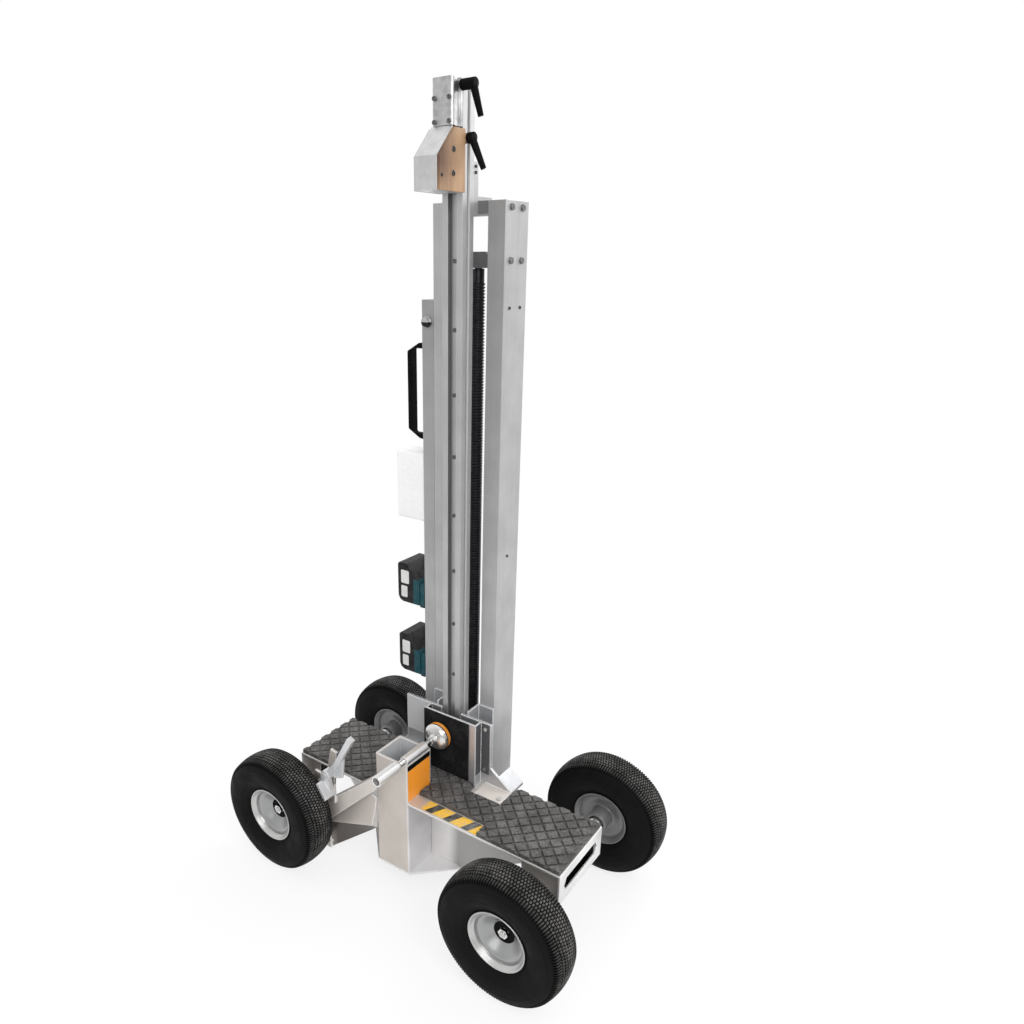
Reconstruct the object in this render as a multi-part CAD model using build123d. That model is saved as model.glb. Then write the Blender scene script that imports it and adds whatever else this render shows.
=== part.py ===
"""Electric panel stacker, in millimetres with Z up.

The origin is on the floor at the centre of the four wheels. X runs along the deck,
Y runs from the front post to the mast, and Z points up.
"""
import math
import os

from build123d import *

# Fits and clearances
RUNNING_FIT = 0.05
SEAT_FIT = 0.02
SLIDE_GAP = 0.4

# Running gear
TYRE_RADIUS = 140.0
TYRE_WIDTH = 88.0
WHEEL_X = 310.0
WHEEL_Y = 219.0
BEAD_RADIUS = 55.0
RIM_FLANGE_RADIUS = 64.0
RIM_HALF_WIDTH = 33.0
RIM_SHEET = 3.2
HUB_RADIUS = 24.0
HUB_OUTER_END = 2.0
HUB_INNER_END = 51.0
BEARING_RADIUS = 17.5
BEARING_WIDTH = 11.0
AXLE_RADIUS = 10.0
AXLE_THREAD_RADIUS = 6.0
AXLE_SHOULDER = 220.0
AXLE_END = 229.0
HANGER_HALF = 34.0
HANGER_SHEET = 12.0

# Deck, trough and post
DECK_LEFT = -330.0
DECK_RIGHT = 372.0
DECK_FRONT = -124.0
DECK_BACK = 58.0
DECK_TOP = 232.0
SHEET = 4.0
END_DROP = 70.0
END_BAR = 20.0
MAT_BASE = 5.0
MAT_STUD = 4.0
STUD_SIZE = 19.0
STUD_PITCH = 24.0
KEEL_TOP = 43.0
KEEL_LEFT = -178.0
KEEL_RIGHT = 84.0
TROUGH_HALF = WHEEL_X - HANGER_HALF - 14
TROUGH_END_Z = 150.0
POST_LEFT = -91.5
POST_RIGHT = -2.5
POST_BACK = -38.0
POST_TOP = 327.0
POST_WALL = 5.0

# Mast
COLUMN_INNER = 44.0
COLUMN_WIDTH = 38.0
COLUMN_DEPTH = 80.0
COLUMN_WALL = 3.5
MAST_FRONT = 84.0
COLUMN_FOOT = 51.0
COLUMN_TOP = 1440.0
TIE_LOW = COLUMN_TOP - 22
TIE_BACK = MAST_FRONT + 66
GUIDE_TOP = COLUMN_TOP + 64
GUIDE_HALF = 22.0
SCREW_Y = 121.0
SCREW_RADIUS = 13.5
SCREW_NECK_RADIUS = 11.5
NUT_RADIUS = 19.5
SCREW_THREAD_LOW = 259.0
SCREW_THREAD_HIGH = 1298.0
JOURNAL_RADIUS = 7.5
SCREW_BEARING_RADIUS = 16.0
CROSSHEAD_LOW = COLUMN_TOP - 115
CROSSHEAD_HIGH = CROSSHEAD_LOW + 29
LOWER_PLATE_LOW = 244.0
LOWER_PLATE_HIGH = 258.0
GEARBOX_LOW = 128.0
GEARBOX_HIGH = 204.0

# Slide, head and hook
SLIDE_HALF = 22.5
SLIDE_FRONT = 34.0
SLIDE_DEPTH = 35.0
SLIDE_LOW = 262.0
SLIDE_TOP = 1621.0
SLOT_NECK = 20.0
SLOT_NECK_DEPTH = 4.0
SLOT_HEAD = 26.0
SLOT_HEAD_DEPTH = 5.0
SIDE_SLOT_NECK = 9.0
SIDE_SLOT_HEAD = 14.0
SIDE_SLOT_HEAD_DEPTH = 5.0
SLIDE_SCREW_LOW = 478.0
SLIDE_SCREW_PITCH = 122.7
SLIDE_SCREW_HEAD = 2.2
HEAD_FRONT = 3.0
HEAD_HALF = 22.0
HEAD_HIGH = SLIDE_TOP + 6
HEAD_LOW = HEAD_HIGH - 73.4
HOOK_HALF = SLIDE_HALF + 0.3
HOOK_FRONT = -41.0
HOOK_HIGH = HEAD_LOW - 3.6
HOOK_NOSE = HOOK_HIGH - 47
HOOK_LOW = HOOK_HIGH - 100
CHEEK_SHEET = 5.0
COVER_SHEET = 2.0
LEVER_HUB_RADIUS = 9.0
UPPER_LEVER_Y = SLIDE_FRONT - 5.4
UPPER_LEVER_Z = HEAD_HIGH - 11
LOWER_LEVER_Y = SLIDE_FRONT + 7.8
LOWER_LEVER_Z = HOOK_HIGH - 13.3

# Foot bracket
PLATE_FRONT = SLIDE_FRONT
PLATE_SHEET = 6.0
PLATE_TOP = 389.0
PLATE_LEFT = -127.0
PLATE_RIGHT = 108.0
SHOULDER_Z = DECK_TOP + 46
WEB_FRONT = 12.0
WEB_LEFT = -58.0
WEB_RIGHT = 82.0
FOOT_REACH = 164.0
FOOT_FRONT = -12.0
FOOT_SHEET = 6.0

# Clamp on the post
CLAMP_X = POST_RIGHT - 7.5
CLAMP_Z = POST_TOP + 11
CLAMP_RADIUS = 7.0
CLAMP_TIP_RADIUS = 5.0
SLEEVE_RADIUS = 10.0
SLEEVE_BACK = POST_BACK - 14
GRIP_RADIUS = 12.0
GRIP_FRONT = DECK_FRONT - 90
GRIP_BACK = DECK_FRONT - 26
BELL_RADIUS = 31.0
BELL_START = POST_BACK + 4
BELL_FACE = -5.0
PAD_FACE = 3.0
PANEL_GAP = 6.0

# Brake
BRAKE_PIN_REACH = (TYRE_RADIUS + 32.534) / math.sqrt(2)
BRAKE_PIN_X = BRAKE_PIN_REACH - WHEEL_X
BRAKE_PIN_Z = TYRE_RADIUS + BRAKE_PIN_REACH
BRAKE_PIN_RADIUS = 5.0
BRAKE_END_X = BRAKE_PIN_X - 16
BRAKE_FACE = -163.0

# Left-hand fittings
COVER_LEFT = -113.0
COVER_TOP = 1266.0
COVER_LOW = 250.0
HANDLE_LOW = 976.0
HANDLE_HIGH = 1182.0
HANDLE_BAR = 14.0
HANDLE_REACH = 59.0
BOX_LEFT = -192.0
BOX_FRONT = 90.0
BOX_BACK = 150.0
BOX_LOW = 799.0
BOX_HIGH = 952.0
BOX_WALL = 3.0
SWITCH_WIDTH = 22.0
SWITCH_HEIGHT = 32.0
SWITCH_GAP = 0.6
PACK_LEFT = -187.0
PACK_FRONT = 82.0
PACK_BACK = 157.0
PACK_HEIGHT = 95.0
PACK_NOTCH = 42.0
PACK_LOWS = (597.0, 419.0)
DOCK_SHEET = 12.0


def block(x0, x1, y0, y1, z0, z1):
    """A box given by its six limits."""
    centre = ((x0 + x1) / 2, (y0 + y1) / 2, (z0 + z1) / 2)
    return Pos(*centre) * Box(x1 - x0, y1 - y0, z1 - z0)


def plan(points, z0, z1):
    """A plan outline drawn up from z0 to z1."""
    face = make_face(Polyline(*points, close=True))
    return extrude(Pos(0, 0, z0) * face, amount=z1 - z0)


def front_plane(y):
    """A drawing plane facing the front, with X to the right and Z up."""
    return Plane(origin=(0, y, 0), x_dir=(1, 0, 0), z_dir=(0, -1, 0))


def side_plane(x):
    """A drawing plane facing right, with Y to the right and Z up."""
    return Plane(origin=(x, 0, 0), x_dir=(0, 1, 0), z_dir=(1, 0, 0))


def elevation(points, y0, y1):
    """A front-view outline drawn from y0 to y1."""
    face = make_face(Polyline(*points, close=True))
    return extrude(front_plane(y1) * face, amount=y1 - y0)


def profile(points, x0, x1):
    """A side-view outline drawn from x0 to x1."""
    face = make_face(Polyline(*points, close=True))
    return extrude(side_plane(x0) * face, amount=x1 - x0)


def rod_x(y, z, radius, x0, x1):
    """A round bar along X."""
    return extrude(side_plane(x0) * (Pos(y, z) * Circle(radius)), amount=x1 - x0)


def rod_y(x, z, radius, y0, y1):
    """A round bar along Y."""
    return extrude(front_plane(y1) * (Pos(x, z) * Circle(radius)), amount=y1 - y0)


def rod_z(x, y, radius, z0, z1):
    """A round bar along Z."""
    return Pos(x, y, (z0 + z1) / 2) * Cylinder(radius, z1 - z0)


def bar_between(start, end, radius_start, radius_end):
    """A round bar between two points, tapered if its radii differ."""
    first = Vector(*start)
    along = Vector(*end) - first
    near = Plane(origin=first, z_dir=along)
    far = near.offset(along.length)
    return loft([near * Circle(radius_start), far * Circle(radius_end)])


def group(shapes):
    """Separate solids handed in as one node."""
    return Compound(children=list(shapes))


def wheel_places():
    """Node ending, wheel centre and outward sign of each wheel."""
    return (
        ("front_left", (-WHEEL_X, -WHEEL_Y), -1),
        ("front_right", (WHEEL_X, -WHEEL_Y), -1),
        ("back_left", (-WHEEL_X, WHEEL_Y), 1),
        ("back_right", (WHEEL_X, WHEEL_Y), 1),
    )


def at_wheel(shape, centre, outward):
    """Place a wheel piece, drawn with its outside towards minus Y."""
    turned = shape if outward < 0 else mirror(shape, about=Plane.XZ)
    return Pos(centre[0], centre[1], TYRE_RADIUS) * turned


def tyre():
    """Pneumatic tyre: round carcass, ribbed tread and beads, turned about Y."""
    half = TYRE_WIDTH / 2
    bead_half = RIM_HALF_WIDTH - 3
    foot = RIM_FLANGE_RADIUS + 3
    edge = TYRE_RADIUS - 6
    edge_half = half - 8
    bulge = foot + 0.582 * (edge - foot)
    outer = [
        Line((BEAD_RADIUS, -bead_half), (foot, -bead_half)),
        ThreePointArc((foot, -bead_half), (bulge, -half), (edge, -edge_half)),
        ThreePointArc((edge, -edge_half), (TYRE_RADIUS, 0), (edge, edge_half)),
        ThreePointArc((edge, edge_half), (bulge, half), (foot, bead_half)),
        Line((foot, bead_half), (BEAD_RADIUS, bead_half)),
    ]
    crown = TYRE_RADIUS - 9
    crown_edge = TYRE_RADIUS - 13
    inner = [
        Line((BEAD_RADIUS, bead_half), (BEAD_RADIUS, bead_half - 9)),
        ThreePointArc((BEAD_RADIUS, bead_half - 9), (bulge - 2, half - 7), (crown_edge, half - 18)),
        ThreePointArc((crown_edge, half - 18), (crown, 0), (crown_edge, 18 - half)),
        ThreePointArc((crown_edge, 18 - half), (bulge - 2, 7 - half), (BEAD_RADIUS, 9 - bead_half)),
        Line((BEAD_RADIUS, 9 - bead_half), (BEAD_RADIUS, -bead_half)),
    ]
    section = make_face(Wire(outer + inner))
    for y in (-24, -8, 8, 24):
        section -= Pos(TYRE_RADIUS, y) * Rectangle(10, 4)
    return revolve(section, Axis.Y)


def rim():
    """Dished steel rim with a hub that reaches inwards, turned about Y."""
    barrel_out = BEAD_RADIUS - 2 * SEAT_FIT
    barrel_in = barrel_out - RIM_SHEET
    lip = RIM_SHEET - 2 * SEAT_FIT
    barrel = Pos((barrel_in + barrel_out) / 2, 0) * Rectangle(RIM_SHEET, 2 * RIM_HALF_WIDTH)
    section = barrel
    for sign in (-1, 1):
        depth = RIM_FLANGE_RADIUS - barrel_in
        lip_y = sign * (RIM_HALF_WIDTH - lip / 2 + 0.2)
        section += Pos(barrel_in + depth / 2, lip_y) * Rectangle(depth, lip)
    low = HUB_RADIUS - 2
    high = barrel_in + 1
    bowl = [
        ThreePointArc((low, -2), (42, -7.5), (high, -25)),
        Line((high, -25), (high, -20)),
        ThreePointArc((high, -20), (41, -3.5), (low, 2)),
        Line((low, 2), (low, -2)),
    ]
    section += make_face(Wire(bowl))
    bore = BEARING_RADIUS + RUNNING_FIT
    hub_length = HUB_OUTER_END + HUB_INNER_END
    hub_y = (HUB_INNER_END - HUB_OUTER_END) / 2
    section += Pos((bore + HUB_RADIUS) / 2, hub_y) * Rectangle(HUB_RADIUS - bore, hub_length)
    return revolve(section, Axis.Y)


def wheel_bearings():
    """Two ball bearings on the axle in each hub."""
    rings = []
    for _, centre, outward in wheel_places():
        for start in (1 - HUB_OUTER_END, HUB_INNER_END - 1 - BEARING_WIDTH):
            ring = rod_y(0, 0, BEARING_RADIUS, start, start + BEARING_WIDTH)
            ring -= rod_y(0, 0, AXLE_RADIUS + SEAT_FIT, start, start + BEARING_WIDTH)
            rings.append(at_wheel(ring, centre, outward))
    return group(rings)


def axles():
    """Two fixed axles with threaded ends."""
    shafts = []
    for x in (-WHEEL_X, WHEEL_X):
        shaft = rod_y(x, TYRE_RADIUS, AXLE_RADIUS, -AXLE_SHOULDER, AXLE_SHOULDER)
        shafts.append(shaft + rod_y(x, TYRE_RADIUS, AXLE_THREAD_RADIUS, -AXLE_END, AXLE_END))
    return group(shafts)


def axle_nuts():
    """A nut outside and a collar inside each hub."""
    pieces = []
    inner_face = WHEEL_Y - HUB_INNER_END + 1
    for _, centre, outward in wheel_places():
        hexagon = extrude(front_plane(-AXLE_SHOULDER) * RegularPolygon(11, 6), amount=7)
        hexagon -= rod_y(0, 0, AXLE_THREAD_RADIUS + SEAT_FIT, -AXLE_END, -AXLE_SHOULDER)
        collar = rod_y(0, 0, 16, -inner_face, -inner_face + 9)
        collar -= rod_y(0, 0, AXLE_RADIUS + SEAT_FIT, -inner_face, -inner_face + 9)
        for piece in (hexagon, collar):
            turned = piece if outward < 0 else mirror(piece, about=Plane.XZ)
            pieces.append(Pos(centre[0], 0, TYRE_RADIUS) * turned)
    return group(pieces)


def axle_hangers():
    """Four plates that hang the axles under the deck, joined in pairs by a web behind each hand slot."""
    plates = []
    top = DECK_TOP - SHEET
    boss = AXLE_RADIUS + 11
    low = DECK_TOP - END_DROP
    rows = (DECK_FRONT + 12, DECK_BACK - 24)
    ends = (
        (-WHEEL_X, HANGER_HALF - WHEEL_X, DECK_LEFT + SHEET, DECK_LEFT + HANGER_HALF),
        (WHEEL_X, WHEEL_X - HANGER_HALF, DECK_RIGHT - SHEET, DECK_RIGHT - HANGER_HALF),
    )
    for x, inner, outer, web in ends:
        plates.append(block(web, web + SHEET, rows[0] + HANGER_SHEET, rows[1], low, top))
        for y in rows:
            back = y + HANGER_SHEET
            side = math.copysign(boss, x)
            corners = [
                (inner, top),
                (outer, top),
                (outer, low),
                (x + side, TYRE_RADIUS),
                (x - side, TYRE_RADIUS),
            ]
            outline = make_face(Polyline(*corners, close=True))
            outline += Pos(x, TYRE_RADIUS) * Circle(boss)
            outline -= Pos(x, TYRE_RADIUS) * Circle(AXLE_RADIUS + SEAT_FIT)
            plates.append(extrude(front_plane(back) * outline, amount=HANGER_SHEET))
    return group(plates)


def deck_plate():
    """Deck sheet with turned-down ends, hand slots and a notch for the post."""
    sheet = block(DECK_LEFT, DECK_RIGHT, DECK_FRONT, DECK_BACK, DECK_TOP - SHEET, DECK_TOP)
    low = DECK_TOP - END_DROP
    for x in (DECK_LEFT, DECK_RIGHT - SHEET):
        sheet += block(x, x + SHEET, DECK_FRONT, DECK_BACK, low, DECK_TOP)
    front = DECK_FRONT + END_BAR
    back = DECK_BACK - END_BAR
    slot_low = low + END_BAR
    slot_high = DECK_TOP - END_BAR
    middle = (slot_low + slot_high) / 2
    slot = [
        (front, middle),
        (front + 9, slot_high),
        (back - 9, slot_high),
        (back, middle),
        (back - 9, slot_low),
        (front + 9, slot_low),
    ]
    sheet -= profile(slot, DECK_LEFT - 1, DECK_LEFT + SHEET + 1)
    sheet -= profile(slot, DECK_RIGHT - SHEET - 1, DECK_RIGHT + 1)
    return sheet - block(POST_LEFT, POST_RIGHT, DECK_FRONT, POST_BACK, DECK_TOP - SHEET, DECK_TOP)


def mat_outline():
    """Plan of the mat: the deck less the post, the front strip and the bracket's feet."""
    outline = Pos(
        (DECK_LEFT + DECK_RIGHT) / 2, (DECK_FRONT + DECK_BACK) / 2
    ) * Rectangle(DECK_RIGHT - DECK_LEFT - 6, DECK_BACK - DECK_FRONT - 6)
    cuts = (
        (POST_LEFT - 36, POST_RIGHT + 2, DECK_FRONT, DECK_FRONT + 16),
        (POST_LEFT - 2, POST_RIGHT + 2, DECK_FRONT, POST_BACK + 2),
        (POST_RIGHT, 176, DECK_FRONT, DECK_FRONT + 40),
        (WEB_RIGHT, FOOT_REACH + 4, FOOT_FRONT - 4, DECK_BACK),
        (-FOOT_REACH - 4, -WEB_RIGHT, FOOT_FRONT - 4, DECK_BACK),
        (-WEB_RIGHT - 2, WEB_RIGHT + 2, WEB_FRONT - 2, DECK_BACK),
    )
    for x0, x1, y0, y1 in cuts:
        outline -= Pos((x0 + x1) / 2, (y0 + y1) / 2) * Rectangle(x1 - x0, y1 - y0)
    return outline


def deck_mat():
    """Rubber mat with square studs set on the diagonal."""
    outline = mat_outline()
    mat = extrude(Pos(0, 0, DECK_TOP) * outline, amount=MAT_BASE)
    step = STUD_PITCH / math.sqrt(2)
    studs = []
    for i in range(int(DECK_LEFT / step), int(DECK_RIGHT / step) + 1):
        for j in range(int(DECK_FRONT / step), int(DECK_BACK / step) + 1):
            if (i + j) % 2:
                continue
            square = Pos(i * step, j * step) * Rot(0, 0, 45) * Rectangle(STUD_SIZE, STUD_SIZE)
            for face in (square & outline).faces():
                if face.area > 20:
                    stud = extrude(Pos(0, 0, DECK_TOP + MAT_BASE) * face, amount=MAT_STUD)
                    studs.append(stud)
    return mat.fuse(*studs)


def keel_plate():
    """Bottom plate with a nose under the post."""
    outline = [
        (KEEL_LEFT, DECK_BACK),
        (KEEL_RIGHT, DECK_BACK),
        (KEEL_RIGHT, POST_BACK),
        (POST_RIGHT, DECK_FRONT - 1),
        (POST_LEFT, DECK_FRONT - 1),
        (KEEL_LEFT, POST_BACK),
    ]
    return plan(outline, KEEL_TOP - SHEET, KEEL_TOP)


def chassis_trough():
    """Folded trough under the deck, open at the top."""
    top = DECK_TOP - SHEET
    outline = make_face(
        Polyline(
            (-TROUGH_HALF, top),
            (TROUGH_HALF, top),
            (TROUGH_HALF, TROUGH_END_Z),
            (KEEL_RIGHT, KEEL_TOP),
            (KEEL_LEFT, KEEL_TOP),
            (-TROUGH_HALF, TROUGH_END_Z),
            close=True,
        )
    )
    inside = offset(outline, amount=-SHEET, kind=Kind.INTERSECTION)
    shell = extrude(front_plane(DECK_BACK) * outline, amount=DECK_BACK - POST_BACK)
    room = extrude(front_plane(DECK_BACK - SHEET) * inside, amount=DECK_BACK - POST_BACK - 2 * SHEET)
    mouth = block(
        SHEET - TROUGH_HALF, TROUGH_HALF - SHEET, POST_BACK + SHEET, DECK_BACK - SHEET, top - 2 * SHEET, top
    )
    return shell - room - mouth


def front_post():
    """Square post, open at the top."""
    width = POST_RIGHT - POST_LEFT
    depth = POST_BACK - DECK_FRONT
    centre = Pos((POST_LEFT + POST_RIGHT) / 2, (DECK_FRONT + POST_BACK) / 2)
    wall = RectangleRounded(width, depth, 4) - RectangleRounded(width - 2 * POST_WALL, depth - 2 * POST_WALL, 1)
    return extrude(Pos(0, 0, KEEL_TOP) * centre * wall, amount=POST_TOP - KEEL_TOP)


def brake_arm():
    """Welded arm from the post to the end plate beside the front left tyre."""
    start = Vector(BRAKE_END_X, BRAKE_FACE + 2, 0)
    run = Vector(POST_LEFT, DECK_FRONT + 5, 0) - start
    aside = Vector(run.Y, -run.X, 0)
    rear = Plane(origin=start - aside * (6 / run.length), x_dir=run, z_dir=aside)
    strut_face = make_face(Polyline((-20, 163), (150, 288), (150, 259), (-20, 107), close=True))
    strut = extrude(rear * strut_face, amount=12)

    def rib(along, points):
        """One end of the folded gusset, as distances from the arm's rear face and heights."""
        origin = rear.origin + run * (along / run.length)
        section = Plane(origin=origin, x_dir=aside, z_dir=aside.cross(Vector(0, 0, 1)))
        return section * make_face(Polyline(*points, close=True))

    near = rib(-4, [(0, 126), (3, 126), (14, 121), (5, 40), (0, 40)])
    far = rib(150, [(0, 262), (3, 262), (34, 152), (6, 146), (0, 146)])
    gusset = loft([near, far], ruled=True)
    arm = strut + gusset
    arm &= block(BRAKE_END_X, POST_LEFT, DECK_FRONT - 76, DECK_FRONT + 24, KEEL_TOP - 20, BRAKE_PIN_Z + 4)
    arm -= block(BRAKE_END_X, POST_LEFT, DECK_FRONT, DECK_FRONT + 34, KEEL_TOP - 20, DECK_TOP)
    left = BRAKE_END_X - 34
    end_plate = block(left, BRAKE_END_X, BRAKE_FACE - 3, BRAKE_FACE + 7, KEEL_TOP - 1, 178)
    blade = [
        (BRAKE_END_X - 12, 178),
        (BRAKE_END_X + 22, 178),
        (BRAKE_END_X + 22, 228),
        (BRAKE_PIN_X + 19, BRAKE_PIN_Z + 55),
        (BRAKE_PIN_X + 1, BRAKE_PIN_Z + 59),
        (BRAKE_PIN_X - 19, BRAKE_PIN_Z - 33),
    ]
    cheek = elevation(blade, BRAKE_FACE - 3, BRAKE_FACE + 3)
    cheek -= rod_y(BRAKE_PIN_X, BRAKE_PIN_Z, BRAKE_PIN_RADIUS + SEAT_FIT, BRAKE_FACE - 7, BRAKE_FACE + 13)
    ear = [(left, 178), (left - 11, 222), (left - 3, 244), (BRAKE_END_X - 4, 240), (BRAKE_END_X - 10, 178)]
    ear_plate = elevation(ear, BRAKE_FACE - 3, BRAKE_FACE + 3)
    ear_plate -= block(left + 7, left + 15, BRAKE_FACE - 4, BRAKE_FACE + 4, 188, 226)
    bolts = rod_x(BRAKE_FACE + 2, 160, 4, BRAKE_END_X, BRAKE_END_X + 3)
    bolts += rod_x(BRAKE_FACE + 2, 62, 4, BRAKE_END_X, BRAKE_END_X + 3)
    return arm + end_plate + cheek + ear_plate + bolts


def brake_pin():
    """Pivot pin of the brake lever, with a head at each end."""
    head_radius = BRAKE_PIN_RADIUS + 3
    pin = rod_y(BRAKE_PIN_X, BRAKE_PIN_Z, BRAKE_PIN_RADIUS, BRAKE_FACE - 25, BRAKE_FACE + 7)
    pin += rod_y(BRAKE_PIN_X, BRAKE_PIN_Z, head_radius, BRAKE_FACE - 28, BRAKE_FACE - 25)
    return pin + rod_y(BRAKE_PIN_X, BRAKE_PIN_Z, head_radius, BRAKE_FACE + 3, BRAKE_FACE + 7)


def brake_lever():
    """Foot lever with its hub, side web and the shoe that meets the tyre."""
    front = BRAKE_FACE - 23
    back = BRAKE_FACE - 11

    def cut_plate(points, y0, y1):
        """A plate drawn by its points from the pin."""
        return elevation([(BRAKE_PIN_X + x, BRAKE_PIN_Z + z) for x, z in points], y0, y1)

    lever = cut_plate([(-8, -5), (8, -9), (40, 41), (86, 119), (74, 125), (30, 45)], front, back)
    lever += rod_y(BRAKE_PIN_X, BRAKE_PIN_Z, BRAKE_PIN_RADIUS + 7, front - 1.5, BRAKE_FACE - 5)
    lever += cut_plate([(-15, 0), (7, 0), (12, -36), (7, -50), (-15, -22)], front, back)
    lever += cut_plate([(14, -52), (18, -46), (-4, -13), (-11, -16)], front - 20, back + 4)
    lever += cut_plate([(10, 18), (48, 54), (41, 4), (16, -6), (6, 4)], back, BRAKE_FACE - 6)
    return lever - rod_y(BRAKE_PIN_X, BRAKE_PIN_Z, BRAKE_PIN_RADIUS + RUNNING_FIT, front - 24, BRAKE_FACE + 13)


def foot_bracket():
    """Welded bracket on the deck: slotted back plate, hat-shaped web, feet and gussets."""
    slot = SLIDE_HALF + 3.5
    slot_low = DECK_TOP + 20
    foot_top = DECK_TOP + FOOT_SHEET
    outline = [
        (-FOOT_REACH, DECK_TOP),
        (FOOT_REACH, DECK_TOP),
        (FOOT_REACH, foot_top),
        (PLATE_RIGHT, SHOULDER_Z),
        (PLATE_RIGHT, PLATE_TOP),
        (slot, PLATE_TOP),
        (slot, slot_low),
        (-slot, slot_low),
        (-slot, PLATE_TOP),
        (PLATE_LEFT, PLATE_TOP),
        (PLATE_LEFT, SHOULDER_Z),
        (-FOOT_REACH, foot_top),
    ]
    bracket = elevation(outline, PLATE_FRONT, PLATE_FRONT + PLATE_SHEET)
    hat = [
        (WEB_LEFT, PLATE_FRONT),
        (WEB_LEFT, WEB_FRONT),
        (WEB_RIGHT, WEB_FRONT),
        (WEB_RIGHT, PLATE_FRONT),
        (WEB_RIGHT - SHEET, PLATE_FRONT),
        (WEB_RIGHT - SHEET, WEB_FRONT + SHEET),
        (WEB_LEFT + SHEET, WEB_FRONT + SHEET),
        (WEB_LEFT + SHEET, PLATE_FRONT),
    ]
    bracket += plan(hat, DECK_TOP, PLATE_TOP)
    for sign, edge in ((-1, PLATE_LEFT), (1, PLATE_RIGHT)):
        inner = sign * (WEB_RIGHT + 14)
        reach = sign * FOOT_REACH
        bracket += block(*sorted((inner, reach)), FOOT_FRONT, PLATE_FRONT, DECK_TOP, foot_top)
        start = edge + 0.36 * (reach - edge)
        start_z = SHOULDER_Z + 0.36 * (foot_top - SHOULDER_Z)
        slope = [(start, start_z), (reach, foot_top), (reach, DECK_TOP), (start, start_z - FOOT_SHEET)]
        bracket += elevation(slope, PLATE_FRONT + PLATE_SHEET, MAST_FRONT)
    return bracket


def bracket_pad():
    """Rubber pad on the web, where the panel is pressed."""
    face = PAD_FACE + PANEL_GAP
    low = DECK_TOP + MAT_BASE + MAT_STUD + 1
    return block(WEB_LEFT, WEB_RIGHT - 18, face, WEB_FRONT, low, PLATE_TOP - 2)


def bracket_angles():
    """Two angles from the back plate to the column fronts."""
    pieces = []
    for sign in (-1, 1):
        low = PLATE_FRONT + PLATE_SHEET
        inner = sign * (COLUMN_INNER - SHEET)
        outline = [
            (inner, low),
            (sign * COLUMN_INNER, low),
            (sign * COLUMN_INNER, MAST_FRONT - SHEET),
            (sign * (COLUMN_INNER + COLUMN_WIDTH), MAST_FRONT - SHEET),
            (sign * (COLUMN_INNER + COLUMN_WIDTH), MAST_FRONT),
            (inner, MAST_FRONT),
        ]
        pieces.append(plan(outline, DECK_TOP + SHEET, PLATE_TOP + 9))
    return group(pieces)


def mast_base():
    """Mast foot behind the trough: a base plate and an upright bolted to the trough."""
    top = DECK_TOP - SHEET
    back = MAST_FRONT + COLUMN_DEPTH + 8
    wall = DECK_BACK + 5
    half = COLUMN_INNER + COLUMN_WIDTH + 8
    outline = [
        (DECK_BACK, KEEL_TOP),
        (back, KEEL_TOP),
        (back, COLUMN_FOOT),
        (MAST_FRONT + 2, COLUMN_FOOT),
        (wall, COLUMN_FOOT + 45),
        (wall, top),
        (DECK_BACK, top),
    ]
    rib = profile(outline, -half, 6 - half) + profile(outline, half - 6, half)
    foot = block(-half, half, DECK_BACK, back, KEEL_TOP, COLUMN_FOOT)
    return foot + block(-half, half, DECK_BACK, wall, KEEL_TOP, top) + rib


def mast_column(sign):
    """Rectangular column, closed at the top."""
    centre = Pos(sign * (COLUMN_INNER + COLUMN_WIDTH / 2), MAST_FRONT + COLUMN_DEPTH / 2)
    outer = RectangleRounded(COLUMN_WIDTH, COLUMN_DEPTH, 1.2)
    inner = RectangleRounded(COLUMN_WIDTH - 2 * COLUMN_WALL, COLUMN_DEPTH - 2 * COLUMN_WALL, 1)
    tube = extrude(Pos(0, 0, COLUMN_FOOT) * centre * outer, amount=COLUMN_TOP - COLUMN_FOOT)
    return tube - extrude(Pos(0, 0, COLUMN_FOOT) * centre * inner, amount=COLUMN_TOP - COLUMN_FOOT - 3)


def mast_top_tie():
    """Bar that ties the column tops."""
    return block(-COLUMN_INNER, COLUMN_INNER, MAST_FRONT, TIE_BACK, TIE_LOW, COLUMN_TOP)


def upper_guide():
    """Guide on the top tie, with a tongue in the slide's rear slot."""
    back = SLIDE_FRONT + SLIDE_DEPTH
    near = back + SLIDE_GAP
    foot_back = TIE_BACK - 20
    foot_top = COLUMN_TOP + 8
    foot = [(near, TIE_LOW), (MAST_FRONT, TIE_LOW), (MAST_FRONT, COLUMN_TOP), (foot_back, COLUMN_TOP)]
    foot += [(foot_back, foot_top), (MAST_FRONT, foot_top), (MAST_FRONT, GUIDE_TOP), (near, GUIDE_TOP)]
    guide = profile(foot, -GUIDE_HALF, GUIDE_HALF)
    neck = SLOT_NECK / 2 - SLIDE_GAP
    head = SLOT_HEAD / 2 - SLIDE_GAP
    floor = back - SLOT_NECK_DEPTH - SLOT_HEAD_DEPTH + SLIDE_GAP
    low = TIE_LOW + 4
    high = GUIDE_TOP - 4
    guide += block(-neck, neck, back - SLOT_NECK_DEPTH - 1, near, low, high)
    return guide + block(-head, head, floor, back - SLOT_NECK_DEPTH - SLIDE_GAP, low, high)


def screw_mount(low, high, bearing_low):
    """Cross bar between the columns with a stepped bore for a screw bearing."""
    bar = block(-COLUMN_INNER, COLUMN_INNER, SCREW_Y - 22, SCREW_Y + 22, low, high)
    bar -= rod_z(0, SCREW_Y, JOURNAL_RADIUS + 2, low, high)
    return bar - rod_z(0, SCREW_Y, SCREW_BEARING_RADIUS + SEAT_FIT, bearing_low, bearing_low + 12)


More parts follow.
